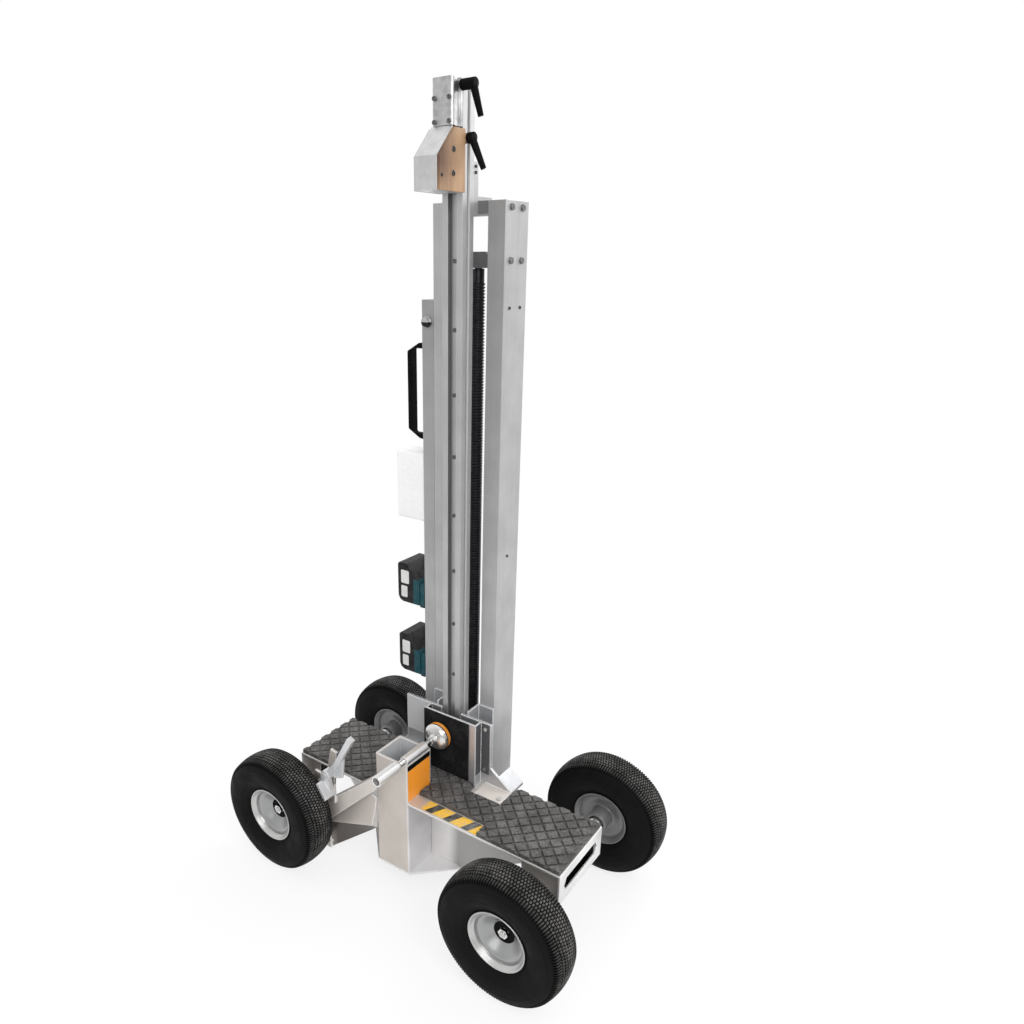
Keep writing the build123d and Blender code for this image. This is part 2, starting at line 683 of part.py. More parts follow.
def screw_crosshead():
    """Domed housing between the columns for the upper screw bearing."""
    bar = screw_mount(CROSSHEAD_LOW, CROSSHEAD_HIGH, CROSSHEAD_LOW)
    shoulder = CROSSHEAD_LOW + 14
    dome = [
        (-COLUMN_INNER, CROSSHEAD_LOW),
        (COLUMN_INNER, CROSSHEAD_LOW),
        (COLUMN_INNER, shoulder),
        (COLUMN_INNER - 6, shoulder + 8),
        (COLUMN_INNER - 16, CROSSHEAD_HIGH),
        (16 - COLUMN_INNER, CROSSHEAD_HIGH),
        (6 - COLUMN_INNER, shoulder + 8),
        (-COLUMN_INNER, shoulder),
    ]
    return bar & elevation(dome, SCREW_Y - 22, SCREW_Y + 22)


def screw_bearings():
    """Bearings of the lead screw, one in each mount."""
    rings = []
    for low in (LOWER_PLATE_HIGH - 12, CROSSHEAD_LOW):
        ring = rod_z(0, SCREW_Y, SCREW_BEARING_RADIUS, low, low + 12)
        rings.append(ring - rod_z(0, SCREW_Y, JOURNAL_RADIUS + RUNNING_FIT, low, low + 12))
    return group(rings)


def lead_screw():
    """Lead screw with a thread length, a plain neck and two journals."""
    screw = rod_z(0, SCREW_Y, JOURNAL_RADIUS, 224, CROSSHEAD_HIGH - 2)
    screw += rod_z(0, SCREW_Y, SCREW_RADIUS, SCREW_THREAD_LOW, SCREW_THREAD_HIGH)
    return screw + rod_z(0, SCREW_Y, SCREW_NECK_RADIUS, SCREW_THREAD_HIGH, CROSSHEAD_LOW - 1)


def screw_coupling():
    """Clamp coupling between the gearbox shaft and the screw."""
    body = rod_z(0, SCREW_Y, 16, GEARBOX_HIGH + 2, LOWER_PLATE_LOW - 2)
    body = chamfer(body.edges(), 1.2)
    body += rod_z(0, SCREW_Y, 7, 188, GEARBOX_HIGH + 3)
    body -= rod_z(0, SCREW_Y, JOURNAL_RADIUS + SEAT_FIT, 223, LOWER_PLATE_LOW)
    return body - block(-20, 20, SCREW_Y - 0.6, SCREW_Y + 0.6, 226, LOWER_PLATE_LOW)


def lift_gearbox():
    """Gearbox hung between the columns by its top flange."""
    body = extrude(
        Pos(0, SCREW_Y, GEARBOX_LOW) * RectangleRounded(72, 68, 8), amount=GEARBOX_HIGH - GEARBOX_LOW
    )
    body += block(-COLUMN_INNER, COLUMN_INNER, SCREW_Y - 24, SCREW_Y + 24, GEARBOX_HIGH - 14, GEARBOX_HIGH)
    return body - rod_z(0, SCREW_Y, 7 + RUNNING_FIT, 186, GEARBOX_HIGH)


def lift_motor():
    """Motor under the gearbox."""
    body = rod_z(0, SCREW_Y, 31, 60, GEARBOX_LOW)
    body += rod_z(0, SCREW_Y, 27, 54, 60)
    return body + block(-8, 8, SCREW_Y + 26, SCREW_Y + 36, 70, 90)


def slide_section():
    """Section of the slide: a bar with a T slot in each side."""
    middle = SLIDE_FRONT + SLIDE_DEPTH / 2
    section = Pos(0, middle) * Rectangle(2 * SLIDE_HALF, SLIDE_DEPTH)
    for sign in (-1, 1):
        face = middle + sign * SLIDE_DEPTH / 2
        neck_y = face - sign * SLOT_NECK_DEPTH / 2
        head_y = face - sign * (SLOT_NECK_DEPTH + SLOT_HEAD_DEPTH / 2)
        section -= Pos(0, neck_y) * Rectangle(SLOT_NECK, SLOT_NECK_DEPTH)
        section -= Pos(0, head_y) * Rectangle(SLOT_HEAD, SLOT_HEAD_DEPTH)
        neck_x = sign * (SLIDE_HALF - SLOT_NECK_DEPTH / 2)
        head_x = sign * (SLIDE_HALF - SLOT_NECK_DEPTH - SIDE_SLOT_HEAD_DEPTH / 2)
        section -= Pos(neck_x, middle) * Rectangle(SLOT_NECK_DEPTH, SIDE_SLOT_NECK)
        section -= Pos(head_x, middle) * Rectangle(SIDE_SLOT_HEAD_DEPTH, SIDE_SLOT_HEAD)
    return section


def lift_slide():
    """T-slot slide that carries the hook."""
    return extrude(Pos(0, 0, SLIDE_LOW) * slide_section(), amount=SLIDE_TOP - SLIDE_LOW)


def slide_screws():
    """Countersunk screws in the slide's front slot and on the head block."""
    floor = SLIDE_FRONT + SLOT_NECK_DEPTH + SLOT_HEAD_DEPTH
    screws = []
    for i in range(8):
        z = SLIDE_SCREW_LOW + i * SLIDE_SCREW_PITCH
        head = rod_y(0, z, 4, floor - SLIDE_SCREW_HEAD, floor)
        screws.append(head - rod_y(0, z, 1.8, floor - SLIDE_SCREW_HEAD, floor - 1))
    head_top = HEAD_FRONT - 2.6
    for x in (6.3 - HEAD_HALF, HEAD_HALF - 6.3):
        for z in (HEAD_LOW + 6, HEAD_LOW + 42):
            head = rod_y(x, z, 4, head_top, HEAD_FRONT)
            screws.append(head - rod_y(x, z, 2, head_top, head_top + 1.6))
    return group(screws)


def nut_arm():
    """Arm from the slide's foot back to the lead nut, guided between the columns."""
    back = SLIDE_FRONT + SLIDE_DEPTH
    half = COLUMN_INNER - 2
    arm = block(-30, 30, back, MAST_FRONT + 9, SLIDE_LOW + 4, SLIDE_LOW + 68)
    arm += block(-half, half, MAST_FRONT + 7, SCREW_Y + 26, SLIDE_LOW + 8, SLIDE_LOW + 58)
    arm = fillet(arm.edges().filter_by(Axis.Z).group_by(Axis.Y)[-1], 6)
    return arm - rod_z(0, SCREW_Y, NUT_RADIUS + SEAT_FIT, SLIDE_LOW, SLIDE_LOW + 58)


def lead_nut():
    """Flanged bronze nut on the lead screw."""
    flange = SLIDE_LOW + 58
    nut = rod_z(0, SCREW_Y, NUT_RADIUS, SLIDE_LOW + 2, flange)
    nut += rod_z(0, SCREW_Y, NUT_RADIUS + 7, flange, flange + 10)
    return nut - rod_z(0, SCREW_Y, SCREW_RADIUS + RUNNING_FIT, SLIDE_LOW, flange + 12)


def head_block():
    """Head block on the slide's front, with a groove down each side."""
    body = block(-HEAD_HALF, HEAD_HALF, HEAD_FRONT, SLIDE_FRONT, HEAD_LOW, HEAD_HIGH)
    body = fillet(body.edges().filter_by(Axis.Z).group_by(Axis.Y)[0], 5)
    for sign in (-1, 1):
        limits = sorted((sign * (HEAD_HALF - 3), sign * HEAD_HALF))
        body -= block(*limits, SLIDE_FRONT - 20, SLIDE_FRONT - 6, HEAD_LOW, HEAD_HIGH)
    return body


def hook_outline():
    """Side view of the hook block."""
    return [
        (HOOK_FRONT, HOOK_LOW),
        (HOOK_FRONT, HOOK_NOSE),
        (HEAD_FRONT, HOOK_HIGH),
        (SLIDE_FRONT - SLIDE_GAP, HOOK_HIGH),
        (SLIDE_FRONT - SLIDE_GAP, HOOK_LOW),
    ]


def hook_block():
    """Hook block that takes the panel's upper edge, with a tongue in the slide's front slot."""
    body = profile(hook_outline(), -HOOK_HALF, HOOK_HALF)
    neck = SLOT_NECK / 2 - SLIDE_GAP
    head = SLOT_HEAD / 2 - SLIDE_GAP
    lip = SLIDE_FRONT + SLOT_NECK_DEPTH + SLIDE_GAP
    body += block(-neck, neck, SLIDE_FRONT - SLIDE_GAP - 1, lip + 0.5, HOOK_LOW + 20, HOOK_HIGH - 20)
    return body + block(-head, head, lip, lip + 1.8, HOOK_LOW + 20, HOOK_HIGH - 20)


def hook_cover():
    """Bent sheet over the hook block's front and slope."""
    outer = HOOK_FRONT - COVER_SHEET
    outline = [
        (HOOK_FRONT, HOOK_LOW),
        (HOOK_FRONT, HOOK_NOSE),
        (HEAD_FRONT, HOOK_HIGH),
        (HEAD_FRONT, HOOK_HIGH + 2.8),
        (outer, HOOK_NOSE + 0.8),
        (outer, HOOK_LOW),
    ]
    return profile(outline, -HOOK_HALF, HOOK_HALF)


def hook_cheeks():
    """Side plates of the hook block, each with a small ear under the clamping lever."""
    outer = HOOK_HALF + CHEEK_SHEET
    sheet = profile(hook_outline(), HOOK_HALF, outer)
    sheet += rod_x(LOWER_LEVER_Y, LOWER_LEVER_Z, LEVER_HUB_RADIUS - 0.5, HOOK_HALF, outer)
    sheet += block(HOOK_HALF, outer, SLIDE_FRONT - 5, LOWER_LEVER_Y, LOWER_LEVER_Z - 6, LOWER_LEVER_Z + 6)
    holes = (
        (-0.6, HOOK_HIGH - 34.4, 3.6),
        (-1.3, HOOK_HIGH - 71.6, 3.6),
        (HOOK_FRONT + 6, HOOK_HIGH - 76.5, 2.4),
        (LOWER_LEVER_Y, LOWER_LEVER_Z, 4 + SLIDE_GAP),
    )
    for y, z, radius in holes:
        sheet -= rod_x(y, z, radius, HOOK_HALF, outer)
    return group([sheet, mirror(sheet, about=Plane.YZ)])


def clamp_lever(face_x, y, z, hub_length, lean):
    """Adjustable clamping lever that turns about X: a round hub and a tapered arm."""
    start = face_x + SLIDE_GAP
    end = start + hub_length
    hub = rod_x(y, z, LEVER_HUB_RADIUS, start, end)
    hub = chamfer(hub.edges(), 1.2)
    return hub + bar_between((end - 7, y, z + 2), (end + lean, y + 9, z - 49), 7, 5)


def clamp_sleeve():
    """Threaded sleeve for the spindle, welded along the post's right wall."""
    sleeve = rod_y(CLAMP_X, CLAMP_Z, SLEEVE_RADIUS, DECK_FRONT, SLEEVE_BACK)
    sleeve += block(CLAMP_X - 2, POST_RIGHT, DECK_FRONT, SLEEVE_BACK, POST_TOP, CLAMP_Z - 4)
    return sleeve - rod_y(CLAMP_X, CLAMP_Z, CLAMP_RADIUS + RUNNING_FIT, DECK_FRONT, SLEEVE_BACK)


def clamp_screw():
    """Clamp spindle with a stepped tip."""
    shoulder = BELL_START - SLIDE_GAP
    rod = rod_y(CLAMP_X, CLAMP_Z, CLAMP_RADIUS, GRIP_BACK - 15, shoulder)
    return rod + rod_y(CLAMP_X, CLAMP_Z, CLAMP_TIP_RADIUS, shoulder, shoulder + 14)


def clamp_handle():
    """Tube grip on the spindle's front end, with a round boss at its back."""
    grip = rod_y(CLAMP_X, CLAMP_Z, GRIP_RADIUS, GRIP_FRONT, GRIP_BACK - 6)
    grip += Pos(CLAMP_X, GRIP_BACK, CLAMP_Z) * Sphere(GRIP_RADIUS - 1)
    grip -= rod_y(CLAMP_X, CLAMP_Z, CLAMP_RADIUS + SEAT_FIT, GRIP_BACK - 15, GRIP_BACK + GRIP_RADIUS)
    return grip - rod_y(CLAMP_X, CLAMP_Z, GRIP_RADIUS - 3, GRIP_FRONT, GRIP_FRONT + 36)


def swivel_foot():
    """Bell-shaped foot that swivels on the spindle's tip."""
    bore = CLAMP_TIP_RADIUS + 0.3
    rim_start = BELL_FACE - 6
    section = make_face(
        Polyline(
            (bore, BELL_START),
            (9, BELL_START),
            (9, BELL_START + 8),
            (11, rim_start - 8.5),
            (18, rim_start - 6.5),
            (24, rim_start - 4),
            (28, rim_start - 1.5),
            (BELL_RADIUS, rim_start + 2),
            (BELL_RADIUS, BELL_FACE),
            (0, BELL_FACE),
            (0, BELL_START + 14),
            (bore, BELL_START + 14),
            close=True,
        )
    )
    return Pos(CLAMP_X, 0, CLAMP_Z) * revolve(section, Axis.Y)


def foot_pad():
    """Soft pad on the swivel foot."""
    return rod_y(CLAMP_X, CLAMP_Z, BELL_RADIUS, BELL_FACE, PAD_FACE)


def side_cover():
    """Cable cover on the left column, open towards it."""
    right = -COLUMN_INNER - COLUMN_WIDTH
    back = MAST_FRONT + COLUMN_DEPTH
    shell = block(COVER_LEFT, right, MAST_FRONT, back, COVER_LOW, COVER_TOP)
    shell = fillet(shell.edges().filter_by(Axis.Z).group_by(Axis.X)[0], 4)
    return shell - block(COVER_LEFT + 2, right, MAST_FRONT + 2, back - 2, COVER_LOW + 2, COVER_TOP - 2)


def bow_handle():
    """Flat bow handle with slanted ends."""
    middle = (MAST_FRONT * 2 + COLUMN_DEPTH) / 2 - 6
    out = COVER_LEFT - HANDLE_REACH
    outline = [
        (COVER_LEFT, HANDLE_LOW),
        (COVER_LEFT - 28, HANDLE_LOW + 3),
        (out, HANDLE_LOW + 21),
        (out, HANDLE_HIGH - 21),
        (COVER_LEFT - 28, HANDLE_HIGH - 3),
        (COVER_LEFT, HANDLE_HIGH),
        (COVER_LEFT, HANDLE_HIGH - HANDLE_BAR),
        (out + HANDLE_BAR, HANDLE_HIGH - HANDLE_BAR),
        (out + HANDLE_BAR, HANDLE_LOW + HANDLE_BAR),
        (COVER_LEFT, HANDLE_LOW + HANDLE_BAR),
    ]
    bar = elevation(outline, middle - HANDLE_BAR / 2, middle + HANDLE_BAR / 2)
    corners = [edge for edge in bar.edges().filter_by(Axis.Y) if edge.center().X < COVER_LEFT - 5]
    return fillet(corners, 5)


def control_box():
    """Control box shell with an opening for the rocker switch."""
    shell = block(BOX_LEFT, COVER_LEFT, BOX_FRONT, BOX_BACK, BOX_LOW, BOX_HIGH)
    shell = fillet(shell.edges().filter_by(Axis.X) + shell.faces().sort_by(Axis.X)[0].edges(), 6)
    shell -= block(
        BOX_LEFT + BOX_WALL,
        COVER_LEFT,
        BOX_FRONT + BOX_WALL,
        BOX_BACK - BOX_WALL,
        BOX_LOW + BOX_WALL,
        BOX_HIGH - BOX_WALL,
    )
    hole = Box(2 * BOX_WALL + 2, SWITCH_WIDTH + 2 * SWITCH_GAP, SWITCH_HEIGHT + 5)
    return shell - Pos(BOX_LEFT, (BOX_FRONT + BOX_BACK) / 2, (BOX_LOW + BOX_HIGH) / 2) * hole


def lift_switch():
    """Rocker switch on the operator's side of the control box, with a round pivot behind it."""
    y = (BOX_FRONT + BOX_BACK) / 2
    z = (BOX_LOW + BOX_HIGH) / 2
    pivot = BOX_LEFT + BOX_WALL + 3
    rocker = Pos(pivot - 5, y, z) * Box(10, SWITCH_WIDTH, SWITCH_HEIGHT)
    rocker += rod_y(pivot, z, 4, y - 9, y + 9)
    dish = Pos(BOX_LEFT - 33, y, z) * Rot(90, 0, 0) * Cylinder(31, SWITCH_WIDTH + 8)
    return rocker - dish


def battery_docks():
    """Two docks on the cover, each with a T rail for a pack."""
    docks = []
    middle = (PACK_FRONT + PACK_BACK) / 2
    for low in PACK_LOWS:
        face = COVER_LEFT - DOCK_SHEET
        top = low + PACK_HEIGHT - PACK_NOTCH
        dock = block(face, COVER_LEFT, PACK_FRONT + 2, PACK_BACK - 2, low - 4, top)
        dock += block(face - 4, face, middle - 12, middle + 12, low + 6, top - 6)
        dock += block(face - 8, face - 4, middle - 18, middle + 18, low + 6, top - 6)
        docks.append(dock)
    return group(docks)


def battery_pack(low):
    """Battery pack with a T groove, open below, a strap over its dock end and a latch pocket."""
    face = COVER_LEFT - DOCK_SHEET - SLIDE_GAP
    high = low + PACK_HEIGHT
    middle = (PACK_FRONT + PACK_BACK) / 2
    notch = high - PACK_NOTCH
    outline = [
        (PACK_LEFT, low + 14),
        (PACK_LEFT + 4, low + 5),
        (PACK_LEFT + 13, low),
        (face, low),
        (face, notch),
        (face - 36, high),
        (PACK_LEFT + 4, high),
        (PACK_LEFT, high - 4),
    ]
    pack = elevation(outline, PACK_FRONT, PACK_BACK)
    pack += block(face - 42, face, PACK_BACK - 10, PACK_BACK, high - 6, high)
    groove_top = notch - 5
    pack -= block(face - 4 - SLIDE_GAP, face, middle - 12.5, middle + 12.5, low, groove_top)
    pack -= block(face - 8.5, face - 4 + SLIDE_GAP, middle - 18.5, middle + 18.5, low, groove_top)
    return pack - block(PACK_LEFT, PACK_LEFT + 12, middle - 12.5, middle + 12.5, high - 24, high - 10)


def battery_latch(low):
    """Push latch of a battery pack."""
    high = low + PACK_HEIGHT
    middle = (PACK_FRONT + PACK_BACK) / 2
    latch = block(PACK_LEFT - 1, PACK_LEFT + 7, middle - 12, middle + 12, high - 23.5, high - 10.5)
    return fillet(latch.faces().sort_by(Axis.X)[0].edges(), 1.5)


def frame_bolts():
    """Bolt heads on the columns, the bracket, its feet, the guide and the cover."""
    face = COLUMN_INNER + COLUMN_WIDTH
    pieces = []
    rows = (MAST_FRONT + 20.5, MAST_FRONT + 58)
    for z in (COLUMN_TOP - 11, CROSSHEAD_LOW + 13):
        for y in rows:
            pieces.append(rod_x(y, z, 6, face, face + 3.5))
            pieces.append(rod_x(y, z, 6, -face - 3.5, -face))
    for y, z in ((rows[0], 1254), (rows[1], 1254), (MAST_FRONT + 37.5, 752)):
        pieces.append(rod_x(y, z, 3, face, face + 1.5))
    for z in (SHOULDER_Z - 5, PLATE_TOP - 13):
        pieces.append(rod_y(WEB_RIGHT + 12, z, 5, PLATE_FRONT - 4, PLATE_FRONT))
    foot_top = DECK_TOP + FOOT_SHEET
    for sign in (-1, 1):
        pieces.append(rod_z(sign * (FOOT_REACH - 10), FOOT_FRONT + 11, 5, foot_top, foot_top + 3))
    for z in (GUIDE_TOP - 8, GUIDE_TOP - 18):
        pieces.append(rod_x(MAST_FRONT - 9, z, 2.6, GUIDE_HALF, GUIDE_HALF + 2))
    cover_bolt = rod_y(-98, 1224, 8.5, MAST_FRONT - 9, MAST_FRONT)
    pieces.append(cover_bolt + rod_y(-98, 1224, 11, MAST_FRONT - 2, MAST_FRONT))
    return group(pieces)


NODES = {
    "deck_plate": deck_plate,
    "deck_mat": deck_mat,
    "keel_plate": keel_plate,
    "chassis_trough": chassis_trough,
    "front_post": front_post,
    "axles": axles,
    "axle_hangers": axle_hangers,
    "axle_nuts": axle_nuts,
    "wheel_bearings": wheel_bearings,
    "brake_arm": brake_arm,
    "brake_pin": brake_pin,
    "brake_lever": brake_lever,
    "foot_bracket": foot_bracket,
    "bracket_pad": bracket_pad,
    "bracket_angles": bracket_angles,
    "mast_base": mast_base,
    "mast_column_left": lambda: mast_column(-1),
    "mast_column_right": lambda: mast_column(1),
    "mast_top_tie": mast_top_tie,
    "upper_guide": upper_guide,
    "screw_crosshead": screw_crosshead,
    "screw_foot_plate": lambda: screw_mount(LOWER_PLATE_LOW, LOWER_PLATE_HIGH, LOWER_PLATE_HIGH - 12),
    "screw_bearings": screw_bearings,
    "lead_screw": lead_screw,
    "screw_coupling": screw_coupling,
    "lift_gearbox": lift_gearbox,
    "lift_motor": lift_motor,
    "lift_slide": lift_slide,
    "slide_screws": slide_screws,
    "nut_arm": nut_arm,
    "lead_nut": lead_nut,
    "head_block": head_block,
    "hook_block": hook_block,
    "hook_cover": hook_cover,
    "hook_cheeks": hook_cheeks,
    "clamp_lever_upper": lambda: clamp_lever(SLIDE_HALF, UPPER_LEVER_Y, UPPER_LEVER_Z, 30, 4),
    "clamp_lever_lower": lambda: clamp_lever(HOOK_HALF + CHEEK_SHEET, LOWER_LEVER_Y, LOWER_LEVER_Z, 14, 13),
    "clamp_sleeve": clamp_sleeve,
    "clamp_screw": clamp_screw,
    "clamp_handle": clamp_handle,
    "swivel_foot": swivel_foot,
    "foot_pad": foot_pad,
    "side_cover": side_cover,
    "bow_handle": bow_handle,
    "control_box": control_box,
    "lift_switch": lift_switch,
    "battery_docks": battery_docks,
    "battery_pack_upper": lambda: battery_pack(PACK_LOWS[0]),
    "battery_pack_lower": lambda: battery_pack(PACK_LOWS[1]),
    "battery_latch_upper": lambda: battery_latch(PACK_LOWS[0]),
    "battery_latch_lower": lambda: battery_latch(PACK_LOWS[1]),
    "frame_bolts": frame_bolts,
}


def main():
    """Build every node and write it."""
    os.makedirs("parts", exist_ok=True)
    for node, make in NODES.items():
        export_step(make(), f"parts/{node}.step")
    tyre_shape = tyre()
    rim_shape = rim()
    for ending, centre, outward in wheel_places():
        export_step(at_wheel(tyre_shape, centre, outward), f"parts/tyre_{ending}.step")
        export_step(at_wheel(rim_shape, centre, outward), f"parts/rim_{ending}.step")


if __name__ == "__main__":
    main()
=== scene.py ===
"""Looks of the electric panel stacker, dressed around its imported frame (metres, Z up)."""

import logging
import math
from abc import ABC, abstractmethod
from dataclasses import dataclass
from enum import Enum
from functools import cached_property, partial, partialmethod
from typing import Callable, ClassVar, Sequence

import bpy
import numpy as np
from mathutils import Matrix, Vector


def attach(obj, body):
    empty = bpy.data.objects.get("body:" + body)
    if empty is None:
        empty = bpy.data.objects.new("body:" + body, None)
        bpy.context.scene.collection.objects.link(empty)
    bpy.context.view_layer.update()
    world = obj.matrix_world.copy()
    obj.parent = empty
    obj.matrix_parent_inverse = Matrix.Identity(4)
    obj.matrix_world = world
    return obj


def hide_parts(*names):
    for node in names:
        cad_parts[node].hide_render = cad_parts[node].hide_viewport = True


LOG = logging.getLogger("panel_stacker")

Colour = tuple[float, float, float]
Point = tuple[float, float, float]
Pair = tuple[float, float]
Face = tuple[int, ...]
Shape = tuple[np.ndarray, list[Face]]
Item = bpy.types.Object
Material = bpy.types.Material
Tree = bpy.types.NodeTree
Node = bpy.types.Node
Socket = bpy.types.NodeSocket
Feed = Socket | float | Sequence[float]
Sockets = dict[str, Socket]

UNIT: Pair = (0.0, 1.0)
FULL_TURN = 2.0 * math.pi


class Grain(Enum):
    """Direction of drawn or rolled grain, as noise cells per metre along X, Y and Z."""

    ALONG_X = (5.0, 700.0, 700.0)
    ALONG_Z = (700.0, 700.0, 4.0)
    BOARD = (260.0, 260.0, 14.0)
    NONE = (90.0, 90.0, 90.0)


class Facing(Enum):
    """The side that a thin sticker faces, as its two in-plane axes and its normal axis."""

    TOP = (0, 1, 2)
    RIGHT = (1, 2, 0)
    FRONT = (0, 2, 1)


def shade(colour: Colour, factor: float) -> Colour:
    """Return a lighter or darker colour."""
    return tuple(min(1.0, channel * factor) for channel in colour)


class Graph:
    """Adds and wires the nodes of one node tree."""

    def __init__(self, tree: Tree) -> None:
        """Keep the tree that the nodes go into."""
        self.tree = tree

    def add(self, kind: str, **settings: object) -> Node:
        """Add a node.

        Args:
            kind: Blender's name of the node type.
            settings: properties to set on the node.

        Returns:
            The new node.
        """
        node = self.tree.nodes.new(kind)
        for name, value in settings.items():
            setattr(node, name, value)
        return node

    def feed(self, socket: Socket, value: Feed) -> None:
        """Wire a socket from another socket, or set its plain value, a colour with full alpha.

        Args:
            socket: the input to feed.
            value: another socket or a plain value.
        """
        if isinstance(value, Socket):
            self.tree.links.new(value, socket)
        elif socket.type == "RGBA":
            socket.default_value = (*value, 1.0)
        else:
            socket.default_value = value

    def compute(self, operation: str, first: Feed, second: Feed = 0.0) -> Socket:
        """Add a Math node.

        Args:
            operation: Blender's name of the operation.
            first: its first input.
            second: its second input, where it has one.

        Returns:
            The result.
        """
        node = self.add("ShaderNodeMath", operation=operation)
        self.feed(node.inputs[0], first)
        self.feed(node.inputs[1], second)
        return node.outputs[0]

    plus = partialmethod(compute, "ADD")
    minus = partialmethod(compute, "SUBTRACT")
    times = partialmethod(compute, "MULTIPLY")
    larger = partialmethod(compute, "MAXIMUM")
    above = partialmethod(compute, "GREATER_THAN")
    below = partialmethod(compute, "LESS_THAN")
    size = partialmethod(compute, "ABSOLUTE")

    def vector(self, operation: str, first: Feed, second: Feed = (0.0, 0.0, 0.0)) -> Socket:
        """Add a Vector Math node.

        Args:
            operation: Blender's name of the operation.
            first: its first input.
            second: its second input, where it has one.

        Returns:
            The resulting vector or value.
        """
        node = self.add("ShaderNodeVectorMath", operation=operation)
        self.feed(node.inputs[0], first)
        self.feed(node.inputs[1], second)
        return node.outputs["Vector" if operation == "MULTIPLY" else "Value"]

    def mix(self, factor: Feed, first: Feed, second: Feed) -> Socket:
        """Mix two colours.

        Args:
            factor: share of the second colour.
            first: one colour.
            second: the other.

        Returns:
            The mixed colour.
        """
        node = self.add("ShaderNodeMix", data_type="RGBA")
        self.feed(node.inputs[0], factor)
        self.feed(node.inputs[6], first)
        self.feed(node.inputs[7], second)
        return node.outputs[2]

    def shades(self, factor: Feed, colour: Colour, low: float, high: float) -> Socket:
        """Mix a darker and a lighter shade of one colour."""
        return self.mix(factor, shade(colour, low), shade(colour, high))

    def span(self, value: Feed, old: Sequence[float], new: Pair = UNIT) -> Socket:
        """Map a value from one range to another, clamped.

        Args:
            value: the socket to map.
            old: lowest and highest value coming in.
            new: the values that these become.

        Returns:
            The mapped value.
        """
        node = self.add("ShaderNodeMapRange")
        for socket, entry in zip(node.inputs, (value, *old, *new)):
            self.feed(socket, entry)
        return node.outputs[0]

    def split(self, vector: Socket) -> tuple[Socket, ...]:
        """Split a vector.

        Args:
            vector: the vector.

        Returns:
            Its X, Y and Z.
        """
        node = self.add("ShaderNodeSeparateXYZ")
        self.feed(node.inputs[0], vector)
        return tuple(node.outputs)

    def place(self) -> Socket:
        """Return the object's own coordinates."""
        return self.add("ShaderNodeTexCoord").outputs["Object"]

    def facing(self, name: str = "True Normal") -> Socket:
        """Return one of the surface's normals."""
        return self.add("ShaderNodeNewGeometry").outputs[name]

    def radius(self) -> Socket:
        """Return the distance from the object's own Y axis."""
        return self.vector("LENGTH", self.vector("MULTIPLY", self.place(), (1.0, 0.0, 1.0)))

    def effect(self, group: Tree, **values: Feed) -> Socket:
        """Place a node group.

        Args:
            group: the node group.
            values: its own input values, by name.

        Returns:
            The group's first output.
        """
        node = self.add("ShaderNodeGroup", node_tree=group)
        for name, value in values.items():
            self.feed(node.inputs[name], value)
        return node.outputs[0]

    def relief(
        self, height: Socket, strength: float, normal: Socket | None = None, distance: float = 0.0004
    ) -> Socket:
        """Add a Bump node.

        Args:
            height: height of the relief.
            strength: how strongly it shows.
            normal: the normal it starts from, if not the surface's own.
            distance: depth of the relief.

        Returns:
            The bumped normal.
        """
        node = self.add("ShaderNodeBump")
        for name, value in (("Strength", strength), ("Distance", distance), ("Height", height)):
            self.feed(node.inputs[name], value)
        if normal is not None:
            self.feed(node.inputs["Normal"], normal)
        return node.outputs["Normal"]


@dataclass(frozen=True)
class Lining:
    """A box of the frame inside which a metal takes another colour; most boxes paint shade in recesses, some
    paint light, and the default black is painted shade.
    """

    low: Point
    high: Point
    colour: Colour = (0.008, 0.008, 0.008)


class Surface(Graph):
    """Node graph of a new material, around its Principled shader."""

    INPUTS = {
        "colour": "Base Color",
        "roughness": "Roughness",
        "metallic": "Metallic",
        "shine": "Specular IOR Level",
        "coat": "Coat Weight",
        "normal": "Normal",
    }

    def __init__(self, name: str) -> None:
        """Start the material.

        Args:
            name: name of the material.
        """
        self.material = bpy.data.materials.new(name)
        self.material.use_nodes = True
        super().__init__(self.material.node_tree)
        self.shader = self.tree.nodes["Principled BSDF"]

    def finish(self, **values: Feed) -> Material:
        """Feed the shader.

        Args:
            values: sockets or plain values, by the names in INPUTS.

        Returns:
            The material.
        """
        for name, value in values.items():
            self.feed(self.shader.inputs[self.INPUTS[name]], value)
        return self.material

    def line(self, body: Socket, linings: Sequence[Lining]) -> tuple[Socket, Feed]:
        """Colour what lies inside some boxes of the frame.

        Args:
            body: colour outside the boxes.
            linings: the boxes and their colours.

        Returns:
            The colour with the boxes in it, and a mask of the boxes.
        """
        place = self.split(self.place())
        lined: Feed = 0.0
        for lining in linings:
            inside: Feed = 1.0
            for value, low, high in zip(place, lining.low, lining.high):
                inside = self.times(inside, self.above(value, low))
                inside = self.times(inside, self.below(value, high))
            body = self.mix(inside, body, lining.colour)
            lined = self.larger(lined, inside)
        return body, lined


